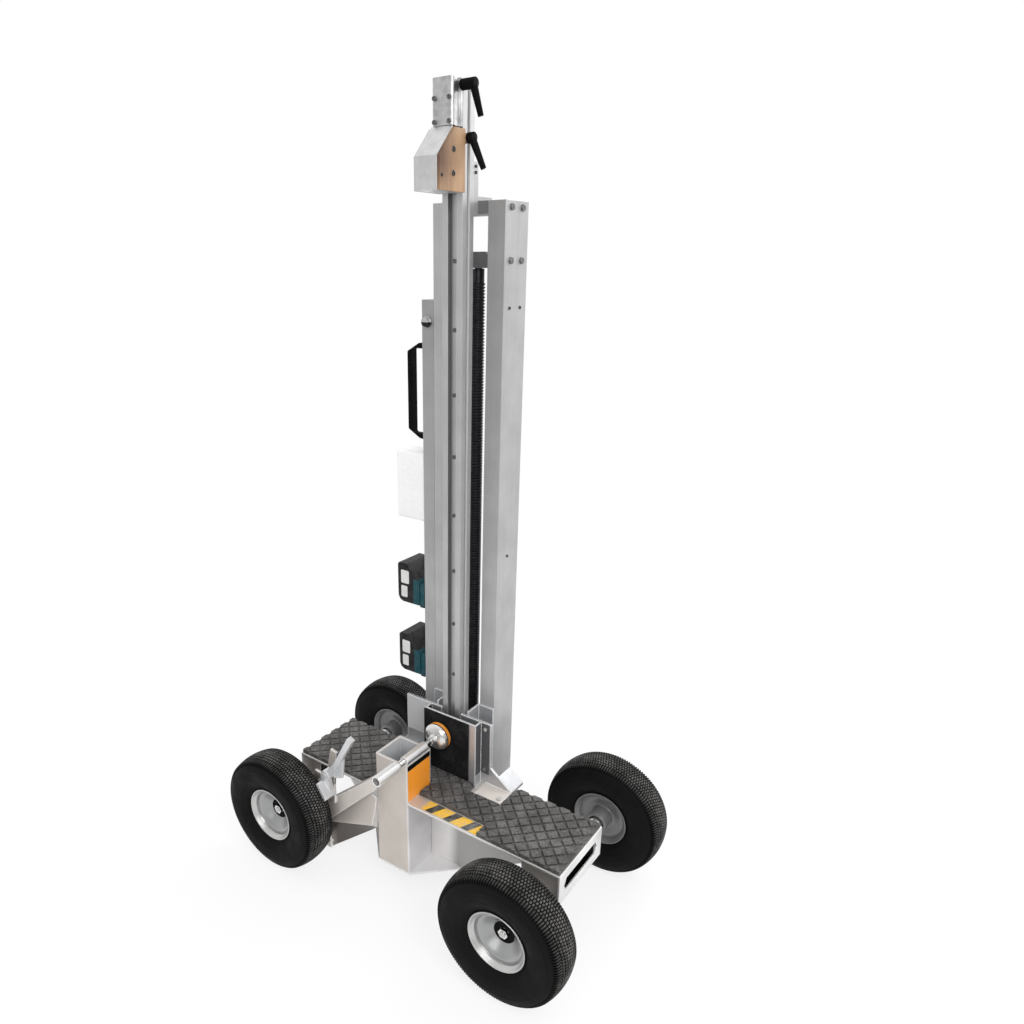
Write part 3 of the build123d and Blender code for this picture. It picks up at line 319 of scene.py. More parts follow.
class Effects:
    """Shader node groups that more than one finish uses."""

    # Noise values, and turns of an edge's normal, that become 0 and 1.
    GRAIN_SPAN: Pair = (0.25, 0.75)
    MOTTLE_SPAN: Pair = (0.32, 0.68)
    SCUFF_SPAN: Pair = (0.2, 0.36)
    EDGE_SPAN: Pair = (0.98, 0.86)
    FINE_SCUFFS = 9.0

    def __init__(self) -> None:
        """Build each group once."""
        self.grain = self._group("drawn grain", {"Stretch": (1.0, 1.0, 1.0)}, self._grain)
        self.mottle = self._group("mottling", {"Scale": 12.0}, self._mottle)
        # The edge mask carries real wear and painted edge highlights alike.
        self.edges = self._group("worn edges", {"Radius": 0.001}, self._edges)
        self.stipple = self._group("fine stipple", {"Scale": 900.0}, self._stipple)
        self.scuffs = self._group("dusty scuffs", {"Scale": 40.0, "Amount": 0.4}, self._scuffs)

    @staticmethod
    def _group(name: str, inputs: dict[str, Feed], build: Callable[[Graph, Sockets], Sockets]) -> Tree:
        """Make a node group.

        Args:
            name: name of the group.
            inputs: first value of each input.
            build: adds the nodes between the input sockets and the outputs that it returns.

        Returns:
            The node group.
        """
        graph = Graph(bpy.data.node_groups.new(name, "ShaderNodeTree"))
        ends = graph.tree.interface
        for label, value in inputs.items():
            kind = "NodeSocketFloat" if isinstance(value, float) else "NodeSocketVector"
            ends.new_socket(name=label, in_out="INPUT", socket_type=kind).default_value = value
        made = build(graph, graph.add("NodeGroupInput").outputs)
        for label in made:
            kind = "NodeSocketVector" if label == "Normal" else "NodeSocketFloat"
            ends.new_socket(name=label, in_out="OUTPUT", socket_type=kind)
        out = graph.add("NodeGroupOutput")
        for label, socket in made.items():
            graph.feed(out.inputs[label], socket)
        return graph.tree

    @staticmethod
    def _noise(graph: Graph, scale: Feed, detail: float, vector: Socket | None = None) -> Socket:
        """Add noise.

        Args:
            graph: node graph of the effect.
            scale: cells per metre.
            detail: octaves of detail.
            vector: coordinates, if not the object's own.

        Returns:
            The noise's value.
        """
        noise = graph.add("ShaderNodeTexNoise")
        place = graph.place() if vector is None else vector
        for name, value in (("Vector", place), ("Scale", scale), ("Detail", detail)):
            graph.feed(noise.inputs[name], value)
        return noise.outputs["Fac"]

    def _grain(self, graph: Graph, entry: Sockets) -> Sockets:
        """Fine streaks, stretched along one axis."""
        scaled = graph.vector("MULTIPLY", graph.place(), entry["Stretch"])
        return {"Value": graph.span(self._noise(graph, 1.0, 3.0, scaled), self.GRAIN_SPAN)}

    def _mottle(self, graph: Graph, entry: Sockets) -> Sockets:
        """Soft blotches, as of handled or weathered surfaces."""
        return {"Value": graph.span(self._noise(graph, entry["Scale"], 5.0), self.MOTTLE_SPAN)}

    def _edges(self, graph: Graph, entry: Sockets) -> Sockets:
        """Mask edges, for wear and for painted highlights, and round them.

        Args:
            graph: node graph of the group.
            entry: inputs of the group.

        Returns:
            The mask and the rounded normal.
        """
        bevel = graph.add("ShaderNodeBevel", samples=6)
        graph.feed(bevel.inputs["Radius"], entry["Radius"])
        rounded = bevel.outputs["Normal"]
        turn = graph.vector("DOT_PRODUCT", rounded, graph.facing("Normal"))
        return {"Mask": graph.span(turn, self.EDGE_SPAN), "Normal": rounded}

    def _stipple(self, graph: Graph, entry: Sockets) -> Sockets:
        """Fine bumps of moulded plastic, rubber or paint."""
        return {"Height": self._noise(graph, entry["Scale"], 2.0)}

    def _scuffs(self, graph: Graph, entry: Sockets) -> Sockets:
        """Scatter dusty scuffs.

        Args:
            graph: node graph of the group.
            entry: inputs of the group.

        Returns:
            The mask of the scuffs.
        """
        broad = self._noise(graph, entry["Scale"], 6.0)
        fine = self._noise(graph, graph.times(entry["Scale"], self.FINE_SCUFFS), 3.0)
        patch = graph.span(graph.times(broad, fine), self.SCUFF_SPAN)
        return {"Mask": graph.times(patch, entry["Amount"])}

    def wear(self, graph: Graph, radius: float) -> tuple[Socket, Socket]:
        """Return a mask of edges, for wear and for painted highlights, and the normal that rounds them."""
        mask = graph.effect(self.edges, Radius=radius)
        return mask, mask.node.outputs["Normal"]

    def tone(self, graph: Graph, grain: Grain, share: float, blotch: float) -> tuple[Socket, Socket]:
        """Mix streaks and blotches.

        Args:
            graph: node graph of the material.
            grain: direction of the streaks.
            share: share of the streaks.
            blotch: scale of the blotches.

        Returns:
            The mixed tone, and the streaks alone.
        """
        streaks = graph.effect(self.grain, Stretch=grain.value)
        mottle = graph.effect(self.mottle, Scale=blotch)
        return graph.plus(graph.times(streaks, share), graph.times(mottle, 1.0 - share)), streaks


class Finish(ABC):
    """A finish, made into a material once."""

    @abstractmethod
    def make(self, effects: Effects) -> Material:
        """Build the finish.

        Args:
            effects: the shared node groups.

        Returns:
            The material.
        """


@dataclass(frozen=True)
class Metal(Finish):
    """Bare or plated metal with grain, blotches and edges painted bright as highlights; rise paints shade on
    its front faces, lighter at the foot and darker upwards.
    """

    name: str
    colour: Colour
    grain: Grain = Grain.NONE
    roughness: float = 0.35
    spread: float = 0.08
    contrast: float = 0.12
    blotch: float = 9.0
    metallic: float = 1.0
    edge: float = 0.5
    edge_radius: float = 0.0009
    bump: float = 0.08
    rise: float = 0.0
    rise_heights: Pair = (0.35, 1.45)
    foot_share: float = 0.6
    front_limit: float = -0.5
    grain_share: float = 0.45
    bright: float = 1.7

    def make(self, effects: Effects) -> Material:
        """Build the material.

        Args:
            effects: the shared node groups.

        Returns:
            The material.
        """
        graph = Surface(self.name)
        tone, grain = effects.tone(graph, self.grain, self.grain_share, self.blotch)
        worn_and_lit, normal = effects.wear(graph, self.edge_radius)
        body = self._toned(graph, tone, 1.0)
        # Painted shade: front faces are painted lighter at the foot and darker upwards, as light from the
        # floor falls off.
        if self.rise:
            high = graph.span(graph.split(graph.place())[2], self.rise_heights)
            foot = self._toned(graph, tone, 1.0 + self.foot_share * self.rise)
            front = graph.mix(high, foot, self._toned(graph, tone, 1.0 - self.rise))
            body = graph.mix(graph.below(graph.split(graph.facing())[1], self.front_limit), body, front)
        # Painted highlight: edges are painted brighter than the body.
        body = graph.mix(graph.times(worn_and_lit, self.edge), body, shade(self.colour, self.bright))
        return graph.finish(
            colour=body,
            roughness=graph.span(tone, UNIT, (self.roughness + self.spread, self.roughness - self.spread)),
            metallic=self.metallic,
            normal=graph.relief(grain, self.bump, normal),
        )

    def _toned(self, graph: Graph, tone: Socket, factor: float) -> Socket:
        """Blotchy body colour at some brightness."""
        low, high = factor * (1.0 - self.contrast), factor * (1.0 + self.contrast)
        return graph.shades(tone, self.colour, low, high)


@dataclass(frozen=True)
class Moulded(Finish):
    """Moulded plastic, paint or rubber: fine stipple, blotches and dusty scuffs."""

    name: str
    colour: Colour
    dust: Colour
    dusty: float = 0.15
    scuff: float = 40.0
    blotch_share: float = 0.5
    roughness: float = 0.45
    spread: float = 0.08
    contrast: float = 0.10
    stipple: float = 1200.0
    bump: float = 0.12
    bump_depth: float = 0.0005
    edge: float = 0.25
    edge_radius: float = 0.0008
    shine: float = 0.5

    def make(self, effects: Effects) -> Material:
        """Build the material.

        Args:
            effects: the shared node groups.

        Returns:
            The material.
        """
        graph = Surface(self.name)
        mottle = graph.effect(effects.mottle, Scale=self.scuff * self.blotch_share)
        scuffs = graph.effect(effects.scuffs, Scale=self.scuff, Amount=self.dusty)
        worn_and_lit, normal = effects.wear(graph, self.edge_radius)
        body = graph.shades(mottle, self.colour, 1.0 - self.contrast, 1.0 + self.contrast)
        body = graph.mix(scuffs, body, self.dust)
        stipple = graph.effect(effects.stipple, Scale=self.stipple)
        return graph.finish(
            colour=graph.mix(graph.times(worn_and_lit, self.edge), body, self.dust),
            roughness=graph.span(mottle, UNIT, (self.roughness - self.spread, self.roughness + self.spread)),
            shine=self.shine,
            normal=graph.relief(stipple, self.bump, normal, self.bump_depth),
        )


@dataclass(frozen=True)
class TyreRubber(Finish):
    """Tyre rubber, black on the walls and dusty on the tops of the tread, the dust brightest along the
    crown's middle as a painted highlight.
    """

    name: str = "tyre rubber"
    colour: Colour = (0.0035, 0.0034, 0.0033)
    dust: Colour = (0.21, 0.205, 0.20)
    crown: float = 0.140
    fall: float = 4.63
    top_depths: Pair = (0.0016, 0.0002)
    middle: Pair = (0.008, 0.034)
    side_dust: float = 0.30
    wall_dust: float = 0.010
    patchy: float = 0.60
    even: float = 0.22
    roughness: Pair = (0.5, 0.72)
    bump: float = 0.2

    def make(self, effects: Effects) -> Material:
        """Build the material, with the tyre's axle along its own Y axis.

        Args:
            effects: the shared node groups.

        Returns:
            The material.
        """
        graph = Surface(self.name)
        off = graph.size(graph.split(graph.place())[1])
        droop = graph.times(graph.compute("POWER", off, 2.0), self.fall)
        low, high = (self.crown - depth for depth in self.top_depths)
        tops = graph.span(graph.plus(graph.radius(), droop), (low, high))
        scuffs = graph.effect(effects.scuffs, Scale=34.0, Amount=0.9)
        mottle = graph.effect(effects.mottle, Scale=30.0)
        dusty = graph.times(tops, graph.plus(graph.times(scuffs, self.patchy), self.even))
        # Dust is strongest along the crown's middle and fades to the sides: real dust, plus a painted
        # highlight along the crown.
        dusty = graph.times(dusty, graph.span(off, self.middle, (1.0, self.side_dust)))
        dusty = graph.larger(dusty, graph.times(mottle, self.wall_dust))
        return graph.finish(
            colour=graph.mix(dusty, self.colour, self.dust),
            roughness=graph.span(mottle, UNIT, self.roughness),
            shine=0.09,
            normal=graph.relief(graph.effect(effects.stipple, Scale=1500.0), self.bump),
        )


@dataclass(frozen=True)
class Board(Finish):
    """Tan hardwood-faced board with fine grain along Z, with painted shade on its nose, stronger towards the
    front and the top.
    """

    name: str = "tan board"
    colour: Colour = (0.43, 0.265, 0.150)
    stain: Colour = (0.105, 0.052, 0.030)
    facing: Colour = (0.55, 0.55, 0.55)
    nose: Pair = (0.014, -0.032)
    nose_stain: Pair = (0.0, 0.9)
    stain_heights: Pair = (1.452, 1.492)
    height_stain: Pair = (0.35, 1.0)
    front_limit: float = -0.3
    grain_share: float = 0.6
    blotch: float = 26.0
    tones: Pair = (0.72, 1.22)
    edge: float = 0.5
    edge_radius: float = 0.0008
    edge_shade: float = 0.55
    roughness: Pair = (0.62, 0.48)
    bump: float = 0.25

    def make(self, effects: Effects) -> Material:
        """Build the material.

        Args:
            effects: the shared node groups.

        Returns:
            The material.
        """
        graph = Surface(self.name)
        tone, grain = effects.tone(graph, Grain.BOARD, self.grain_share, self.blotch)
        worn_and_lit, normal = effects.wear(graph, self.edge_radius)
        body = graph.shades(tone, self.colour, *self.tones)
        body = graph.mix(graph.times(worn_and_lit, self.edge), body, shade(self.colour, self.edge_shade))
        x, y, z = graph.split(graph.place())
        # Painted shade: the nose is painted darker towards the front and the top.
        high = graph.span(z, self.stain_heights, self.height_stain)
        body = graph.mix(graph.times(graph.span(y, self.nose, self.nose_stain), high), body, self.stain)
        front = graph.below(graph.split(graph.facing())[1], self.front_limit)
        return graph.finish(
            colour=graph.mix(graph.times(front, graph.below(x, 0.0)), body, self.facing),
            roughness=graph.span(tone, UNIT, self.roughness),
            normal=graph.relief(grain, self.bump, normal),
        )


@dataclass(frozen=True)
class HazardTape(Finish):
    """Black and yellow floor tape with slanted stripes, scuffed by feet."""

    name: str = "hazard tape"
    yellow: Colour = (0.86, 0.50, 0.03)
    black: Colour = (0.02, 0.02, 0.02)
    dust: Colour = (0.35, 0.34, 0.32)
    stripe: float = 0.047
    lean: float = -0.45
    share: float = 0.4
    scuffed: Pair = (0.0, 0.5)
    roughness: Pair = (0.38, 0.7)

    def make(self, effects: Effects) -> Material:
        """Build the stripes on the tape's own coordinates.

        Args:
            effects: the shared node groups.

        Returns:
            The material.
        """
        graph = Surface(self.name)
        x, y, _ = graph.split(graph.place())
        slanted = graph.plus(x, graph.times(y, self.lean))
        phase = graph.compute("FRACT", graph.compute("DIVIDE", slanted, self.stripe))
        scuffs = graph.effect(effects.scuffs, Scale=55.0, Amount=0.55)
        body = graph.mix(graph.above(phase, self.share), self.black, self.yellow)
        return graph.finish(
            colour=graph.mix(scuffs, body, self.dust),
            roughness=graph.span(scuffs, self.scuffed, self.roughness),
        )


@dataclass(frozen=True)
class PackShell(Finish):
    """Battery pack shell: black outer half and teal inner half, split along X."""

    name: str = "pack shell"
    black: Colour = (0.006, 0.006, 0.0065)
    teal: Colour = (0.003, 0.060, 0.075)
    dust: Colour = (0.25, 0.25, 0.25)
    split: float = -0.143
    low: float = 0.419
    pitch: float = 0.178
    teal_height: float = 0.061
    scuffed: Pair = (0.0, 0.2)
    roughness: Pair = (0.4, 0.6)
    bump: float = 0.15
    edge_radius: float = 0.001

    def make(self, effects: Effects) -> Material:
        """Build the two-tone plastic.

        Args:
            effects: the shared node groups.

        Returns:
            The material.
        """
        graph = Surface(self.name)
        x, _, z = graph.split(graph.place())
        rise = graph.compute("FLOORED_MODULO", graph.minus(z, self.low), self.pitch)
        inner = graph.times(graph.above(x, self.split), graph.below(rise, self.teal_height))
        scuffs = graph.effect(effects.scuffs, Scale=70.0, Amount=0.12)
        stipple = graph.effect(effects.stipple, Scale=1600.0)
        return graph.finish(
            colour=graph.mix(scuffs, graph.mix(inner, self.black, self.teal), self.dust),
            roughness=graph.span(scuffs, self.scuffed, self.roughness),
            shine=0.2,
            normal=graph.relief(stipple, self.bump, effects.wear(graph, self.edge_radius)[1]),
        )


@dataclass(frozen=True)
class BoltSteel(Finish):
    """Bolt steel: bright zinc, but blackened on the middle and the top of the mast."""

    name: str = "bolt steel"
    zinc: Colour = (0.62, 0.62, 0.61)
    black: Colour = (0.03, 0.03, 0.031)
    low: float = 0.45
    high: float = 1.2235
    small_height: float = 1.254
    small_half: float = 0.008
    guide_low: float = 1.27
    guide_back: float = 0.080
    upper_share: float = 0.72
    tones: Pair = (0.85, 1.15)
    edge: float = 0.5
    edge_radius: float = 0.0006
    roughness: Pair = (0.24, 0.36)

    def make(self, effects: Effects) -> Material:
        """Build the plating, split by height.

        Args:
            effects: the shared node groups.

        Returns:
            The material.
        """
        graph = Surface(self.name)
        _, y, z = graph.split(graph.place())
        small = graph.below(graph.size(graph.minus(z, self.small_height)), self.small_half)
        upper = graph.above(z, self.guide_low)
        guide = graph.times(graph.below(y, self.guide_back), upper)
        dark = graph.times(graph.above(z, self.low), graph.below(z, self.high))
        for mask in (small, guide, graph.times(upper, self.upper_share)):
            dark = graph.larger(dark, mask)
        mottle = graph.effect(effects.mottle, Scale=160.0)
        body = graph.mix(dark, graph.shades(mottle, self.zinc, *self.tones), self.black)
        worn_and_lit, normal = effects.wear(graph, self.edge_radius)
        # Edges are painted zinc-bright: partly wear, partly painted highlights on the black bolts.
        return graph.finish(
            colour=graph.mix(graph.times(worn_and_lit, self.edge), body, self.zinc),
            roughness=graph.span(mottle, UNIT, self.roughness),
            metallic=0.95,
            normal=normal,
        )


@dataclass(frozen=True)
class LinedMetal(Finish):
    """Bare metal with edges painted near white as highlights, and linings of their own colour that paint
    shade in some recesses and light in others.
    """

    name: str
    colour: Colour
    grain: Grain = Grain.NONE
    linings: tuple[Lining, ...] = ()
    roughness: float = 0.36
    covered: float = 0.9
    metallic: float = 0.75
    contrast: float = 0.14
    edge: float = 1.0
    edge_radius: float = 0.0032
    edge_colour: Colour = (0.97, 0.97, 0.97)
    grain_share: float = 0.4
    blotch: float = 14.0

    def body(self, graph: Surface, tone: Socket) -> Socket:
        """Return the colour between the edges and linings."""
        return graph.shades(tone, self.colour, 1.0 - self.contrast, 1.0 + self.contrast)

    def rough(self, graph: Surface, tone: Socket, plain: Socket) -> Socket:
        """Return the roughness, duller where the metal is covered."""
        return graph.span(plain, UNIT, (self.roughness, self.covered))

    def make(self, effects: Effects) -> Material:
        """Build the metal and its linings.

        Args:
            effects: the shared node groups.

        Returns:
            The material.
        """
        graph = Surface(self.name)
        tone, _ = effects.tone(graph, self.grain, self.grain_share, self.blotch)
        mask, normal = effects.wear(graph, self.edge_radius)
        worn_and_lit = graph.times(mask, self.edge)
        body, lined = graph.line(self.body(graph, tone), self.linings)
        plain = graph.larger(lined, worn_and_lit)
        # Painted highlight: edges are painted near white.
        return graph.finish(
            colour=graph.mix(worn_and_lit, body, self.edge_colour),
            roughness=self.rough(graph, tone, plain),
            metallic=graph.span(plain, UNIT, (self.metallic, 0.0)),
            normal=normal,
        )


@dataclass(frozen=True)
class WeldedSheet(LinedMetal):
    """Welded aluminium sheet with painted shade on its undersides and a painted lighter colour on faces
    towards plus X, darker beyond fade along X.
    """

    roughness: float = 0.40
    metallic: float = 0.6
    contrast: float = 0.10
    edge_colour: Colour = (0.97, 0.96, 0.95)
    grain_share: float = 0.3
    blotch: float = 8.0
    spread: float = 0.08
    # Painted light: faces towards plus X take this lighter colour.
    side: Colour = (0.86, 0.85, 0.86)
    side_tones: Pair = (0.72, 1.14)
    side_turn: Pair = (0.3, 0.7)
    grime: Colour = (0.085, 0.072, 0.064)
    grime_turn: Pair = (-0.02, -0.16)
    fade: float = 9.0
    fade_run: float = 0.026
    fade_shade: float = 0.45

    def body(self, graph: Surface, tone: Socket) -> Socket:
        """Return the sheet's colour by the way it faces, with painted light and shade.

        Args:
            graph: node graph of the material.
            tone: streaks and blotches.

        Returns:
            The colour.
        """
        right, _, up = graph.split(graph.facing())
        body = super().body(graph, tone)
        # Painted light on faces towards plus X.
        side = graph.shades(tone, self.side, *self.side_tones)
        body = graph.mix(graph.span(right, self.side_turn), body, side)
        faded = graph.span(graph.split(graph.place())[0], (self.fade, self.fade + self.fade_run))
        body = graph.mix(faded, body, shade(self.colour, self.fade_shade))
        # Painted shade on faces that turn downwards.
        return graph.mix(graph.span(up, self.grime_turn), body, self.grime)

    def rough(self, graph: Surface, tone: Socket, plain: Socket) -> Socket:
        """Return the roughness, which follows the tone."""
        return graph.span(tone, UNIT, (self.roughness + self.spread, self.roughness - self.spread))


@dataclass(frozen=True)
class RimPaint(Finish):
    """Silver wheel paint, with painted shade in its bowl, in its groove and on the inner side of the rim,
    which is also dull.
    """

    name: str = "silver rim paint"
    colour: Colour = (0.56, 0.56, 0.555)
    bowl: Colour = (0.36, 0.365, 0.365)
    inner: Colour = (0.16, 0.16, 0.165)
    dust: Colour = (0.30, 0.28, 0.26)
    groove: float = 0.0520
    lip_run: Pair = (-0.003, 0.002)
    groove_run: Pair = (0.0032, 0.0010)
    inner_run: Pair = (-0.002, 0.004)
    groove_dark: Pair = (0.0, 0.6)
    groove_shade: float = 0.45
    blotchy: float = 0.12
    blotch_shade: float = 0.6
    roughness: Pair = (0.30, 0.40)
    metallic: Pair = (0.75, 0.3)

    def make(self, effects: Effects) -> Material:
        """Build the paint, with the rim's outside towards its own minus Y.

        Args:
            effects: the shared node groups.

        Returns:
            The material.
        """
        graph = Surface(self.name)
        # Painted shade: the bowl is darker than the lip, the groove darker still, and the inner side
        # darkest.
        inside = graph.span(graph.split(graph.place())[1], self.inner_run)
        from_groove = graph.minus(graph.radius(), self.groove)
        groove_shadow = graph.span(graph.size(from_groove), self.groove_run, self.groove_dark)
        outside = graph.mix(graph.span(from_groove, self.lip_run), self.bowl, self.colour)
        outside = graph.mix(groove_shadow, outside, shade(self.bowl, self.groove_shade))
        mottle = graph.effect(effects.mottle, Scale=22.0)
        scuffs = graph.effect(effects.scuffs, Scale=30.0, Amount=0.16)
        body = graph.mix(inside, outside, self.inner)
        body = graph.mix(graph.times(mottle, self.blotchy), body, shade(self.colour, self.blotch_shade))
        return graph.finish(
            colour=graph.mix(scuffs, body, self.dust),
            roughness=graph.span(mottle, UNIT, self.roughness),
            metallic=graph.span(inside, UNIT, self.metallic),
            coat=0.2,
        )


class Finishes:
    """Every finish of the object, built once."""

    def __init__(self, effects: Effects) -> None:
        """Build the materials.

        Args:
            effects: the shared node groups.
        """
        metal = partial(self._make, effects, Metal)
        lined = partial(self._make, effects, LinedMetal)
        welded = partial(self._make, effects, WeldedSheet)
        moulded = partial(self._make, effects, Moulded)
        up, along = Grain.ALONG_Z, Grain.ALONG_X
        drawn = {"roughness": 0.48, "spread": 0.10, "contrast": 0.11, "blotch": 16.0, "metallic": 0.75}
        self.column = metal("column aluminium", (0.53, 0.53, 0.535), up, **drawn)
        # Painted shade: a darker copy of the column aluminium, with more shade painted up its front, for the
        # right column.
        self.far_column = metal("far column aluminium", (0.50, 0.50, 0.505), up, **drawn, rise=0.26)
        self.tie = metal("tie aluminium", (0.20, 0.20, 0.202), along, **drawn)
        # The cover has shade painted up its front as well.
        self.cover = metal(
            "cover aluminium", (0.47, 0.47, 0.472), up, **(drawn | {"roughness": 0.50}), rise=0.20
        )
        self.sheet = metal(
            "sheet aluminium", (0.76, 0.755, 0.75), along, roughness=0.38, spread=0.10, contrast=0.10,
            blotch=14.0, metallic=0.7, edge=0.9,
        )
        self.lever = metal(
            "lever sheet", (0.66, 0.67, 0.685), up, roughness=0.42, blotch=24.0, metallic=0.6, edge=0.8,
            edge_radius=0.0012,
        )
        self.head = metal(
            "head aluminium", (0.56, 0.56, 0.565), roughness=0.38, spread=0.10, contrast=0.28, blotch=45.0
        )
        self.hook = metal(
            "hook aluminium", (0.66, 0.66, 0.66), roughness=0.40, spread=0.10, contrast=0.14, blotch=30.0,
            metallic=0.85,
        )
        blackened = {"contrast": 0.2, "blotch": 60.0, "metallic": 0.9, "roughness": 0.30}
        self.oxide = metal(
            "black oxide steel", (0.07, 0.07, 0.072), **blackened, edge=0.6, edge_radius=0.0005
        )
        self.screw = metal("screw steel", (0.16, 0.16, 0.165), **blackened, edge=0.9, edge_radius=0.0007)
        self.thread = metal(
            "oiled black steel", (0.045, 0.046, 0.05), roughness=0.36, spread=0.1, contrast=0.3, blotch=60.0,
            metallic=0.85, edge=0.3, edge_radius=0.0003,
        )
        self.zinc = metal(
            "zinc plated steel", (0.55, 0.55, 0.54), roughness=0.32, spread=0.1, contrast=0.16, blotch=50.0
        )
        self.chrome = metal(
            "chromed steel", (0.72, 0.72, 0.72), roughness=0.12, spread=0.04, contrast=0.05, blotch=40.0
        )
        self.satin = metal(
            "satin steel", (0.76, 0.75, 0.73), roughness=0.20, spread=0.0, contrast=0.02, blotch=40.0,
            metallic=0.95, bump=0.0,
        )
        self.bronze = metal("bronze", (0.45, 0.28, 0.12), roughness=0.38)
        self.housing = metal(
            "dark grey casting", (0.19, 0.19, 0.195), roughness=0.52, contrast=0.15, blotch=40.0,
            metallic=0.6, edge=0.3,
        )
        # Painted shade on the left wall and floor of the front T-slot; the side slot is painted lighter than
        # its shade.
        slot_wall_shade = Lining((-0.0135, 0.0345, 0.0), (-0.0065, 0.0435, 2.0), (0.13, 0.13, 0.132))
        lit_side_slot = Lining((0.010, 0.0440, 0.0), (0.0223, 0.0590, 2.0), (0.62, 0.62, 0.62))
        self.slide = lined(
            "slide aluminium", (0.56, 0.56, 0.565), up, (slot_wall_shade, lit_side_slot), roughness=0.40, metallic=0.8,
            contrast=0.10, edge=0.4, edge_radius=0.0008,
        )
        # Painted shade inside the bracket's gap and on the wall by its right web; the wing is a darker grey
        # and the foot plate's top a warm grey.
        inside = Lining((-0.0545, 0.0155, 0.0), (0.0785, 0.0335, 0.3885))
        wall = Lining((0.0800, 0.0125, 0.26), (0.1045, 0.0345, 0.3885), (0.075, 0.075, 0.08))
        wing = Lining((-0.1275, 0.0335, 0.30), (-0.0600, 0.0345, 0.3885), (0.45, 0.45, 0.46))
        foot = Lining((0.0900, -0.0130, 0.2370), (0.1660, 0.0335, 0.2390), (0.58, 0.54, 0.50))
        self.bracket = lined("bracket sheet", (0.56, 0.565, 0.58), linings=(inside, wall, wing, foot))
        # Painted shade: the hangers are black where they show through the hand slots.
        slot_shade_box = Lining((-0.4, -0.1115, 0.1), (0.4, 0.0455, 0.3))
        self.hanger = lined("hanger sheet", (0.62, 0.58, 0.54), linings=(slot_shade_box,))
        # Painted light: the inside of the post's tube is a plain matt grey, lighter than its shade.
        lit_hollow = Lining((-0.0875, -0.120, 0.10), (-0.0065, -0.042, 0.3265), (0.56, 0.565, 0.575))
        self.post = welded("post sheet", (0.60, 0.55, 0.505), up, (lit_hollow,))
        self.trough = welded("trough sheet", (0.86, 0.84, 0.83), along, fade=0.047)
        self.keel = welded("keel sheet", (0.95, 0.94, 0.94), along, metallic=0.4)
        self.deck = welded("deck sheet", (0.70, 0.68, 0.65), along)
        self.mat = moulded(
            "deck mat rubber", (0.072, 0.069, 0.067), (0.20, 0.19, 0.185), dusty=0.6, scuff=26.0,
            roughness=0.62, spread=0.12, contrast=0.2, stipple=700.0, bump=0.3, edge=0.45, shine=0.25,
        )
        self.pad = moulded(
            "pad rubber", (0.008, 0.008, 0.0085), (0.05, 0.05, 0.05), dusty=0.3, scuff=30.0, roughness=0.7,
            shine=0.08,
        )
        self.black = moulded(
            "black plastic", (0.004, 0.004, 0.0042), (0.06, 0.06, 0.06), dusty=0.05, shine=0.03
        )
        self.white = moulded(
            "white plastic", (0.94, 0.94, 0.945), (0.34, 0.34, 0.33), dusty=0.10, scuff=24.0, roughness=0.42,
            spread=0.06, contrast=0.04, stipple=1100.0, bump=0.06, edge=0.45, edge_radius=0.0018,
        )
        self.orange = moulded(
            "orange pad", (0.75, 0.26, 0.02), (0.45, 0.30, 0.16), dusty=0.25, scuff=45.0, roughness=0.55
        )
        film = {"contrast": 0.05, "stipple": 300.0, "bump": 0.03}
        self.label = moulded(
            "orange film", (0.92, 0.32, 0.02), (0.55, 0.36, 0.2), dusty=0.18, scuff=36.0, roughness=0.34,
            spread=0.06, **film,
        )
        self.film = moulded(
            "pale film", (0.70, 0.70, 0.69), (0.40, 0.40, 0.39), dusty=0.2, scuff=60.0, roughness=0.4,
            spread=0.05, **film,
        )
        self.rim = RimPaint().make(effects)
        self.board = Board().make(effects)
        self.bolt = BoltSteel().make(effects)
        self.tape = HazardTape().make(effects)
        self.pack = PackShell().make(effects)
        self.tyre = TyreRubber().make(effects)

    @staticmethod
    def _make(effects: Effects, kind: type[Finish], *values: object, **named: object) -> Material:
        """Make one finish of a kind."""
        return kind(*values, **named).make(effects)


def link(name: str, data: bpy.types.ID) -> Item:
    """Put an object in the scene.

    Args:
        name: name of the object.
        data: its mesh, lamp or camera.

    Returns:
        The new object.
    """
    item = bpy.data.objects.new(name, data)
    bpy.context.scene.collection.objects.link(item)
    return item


def piece(name: str, shape: Shape, finish: Material, smooth: int = 0) -> Item:
    """Make a mesh piece in the scene.

    Args:
        name: name of the piece.
        shape: its points in metres, and the point numbers of each face.
        finish: material of the piece.
        smooth: how many of its faces, from the first, are shaded smooth.

    Returns:
        The new object.
    """
    mesh = bpy.data.meshes.new(name)
    mesh.from_pydata(np.asarray(shape[0], float).tolist(), [], shape[1])
    mesh.validate()
    mesh.polygons.foreach_set("use_smooth", [i < smooth for i in range(len(mesh.polygons))])
    mesh.materials.append(finish)
    LOG.info("built %s with %d faces", name, len(mesh.polygons))
    return link(name, mesh)


def settle(item: Item, body: str, slot: str, *nodes: str) -> Item:
    """Let a piece ride on a body.

    Args:
        item: the piece.
        body: name of the body.
        slot: not used.
        nodes: CAD nodes that the piece replaces, if any.

    Returns:
        The piece.
    """
    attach(item, body)
    if nodes:
        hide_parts(*nodes)
    return item


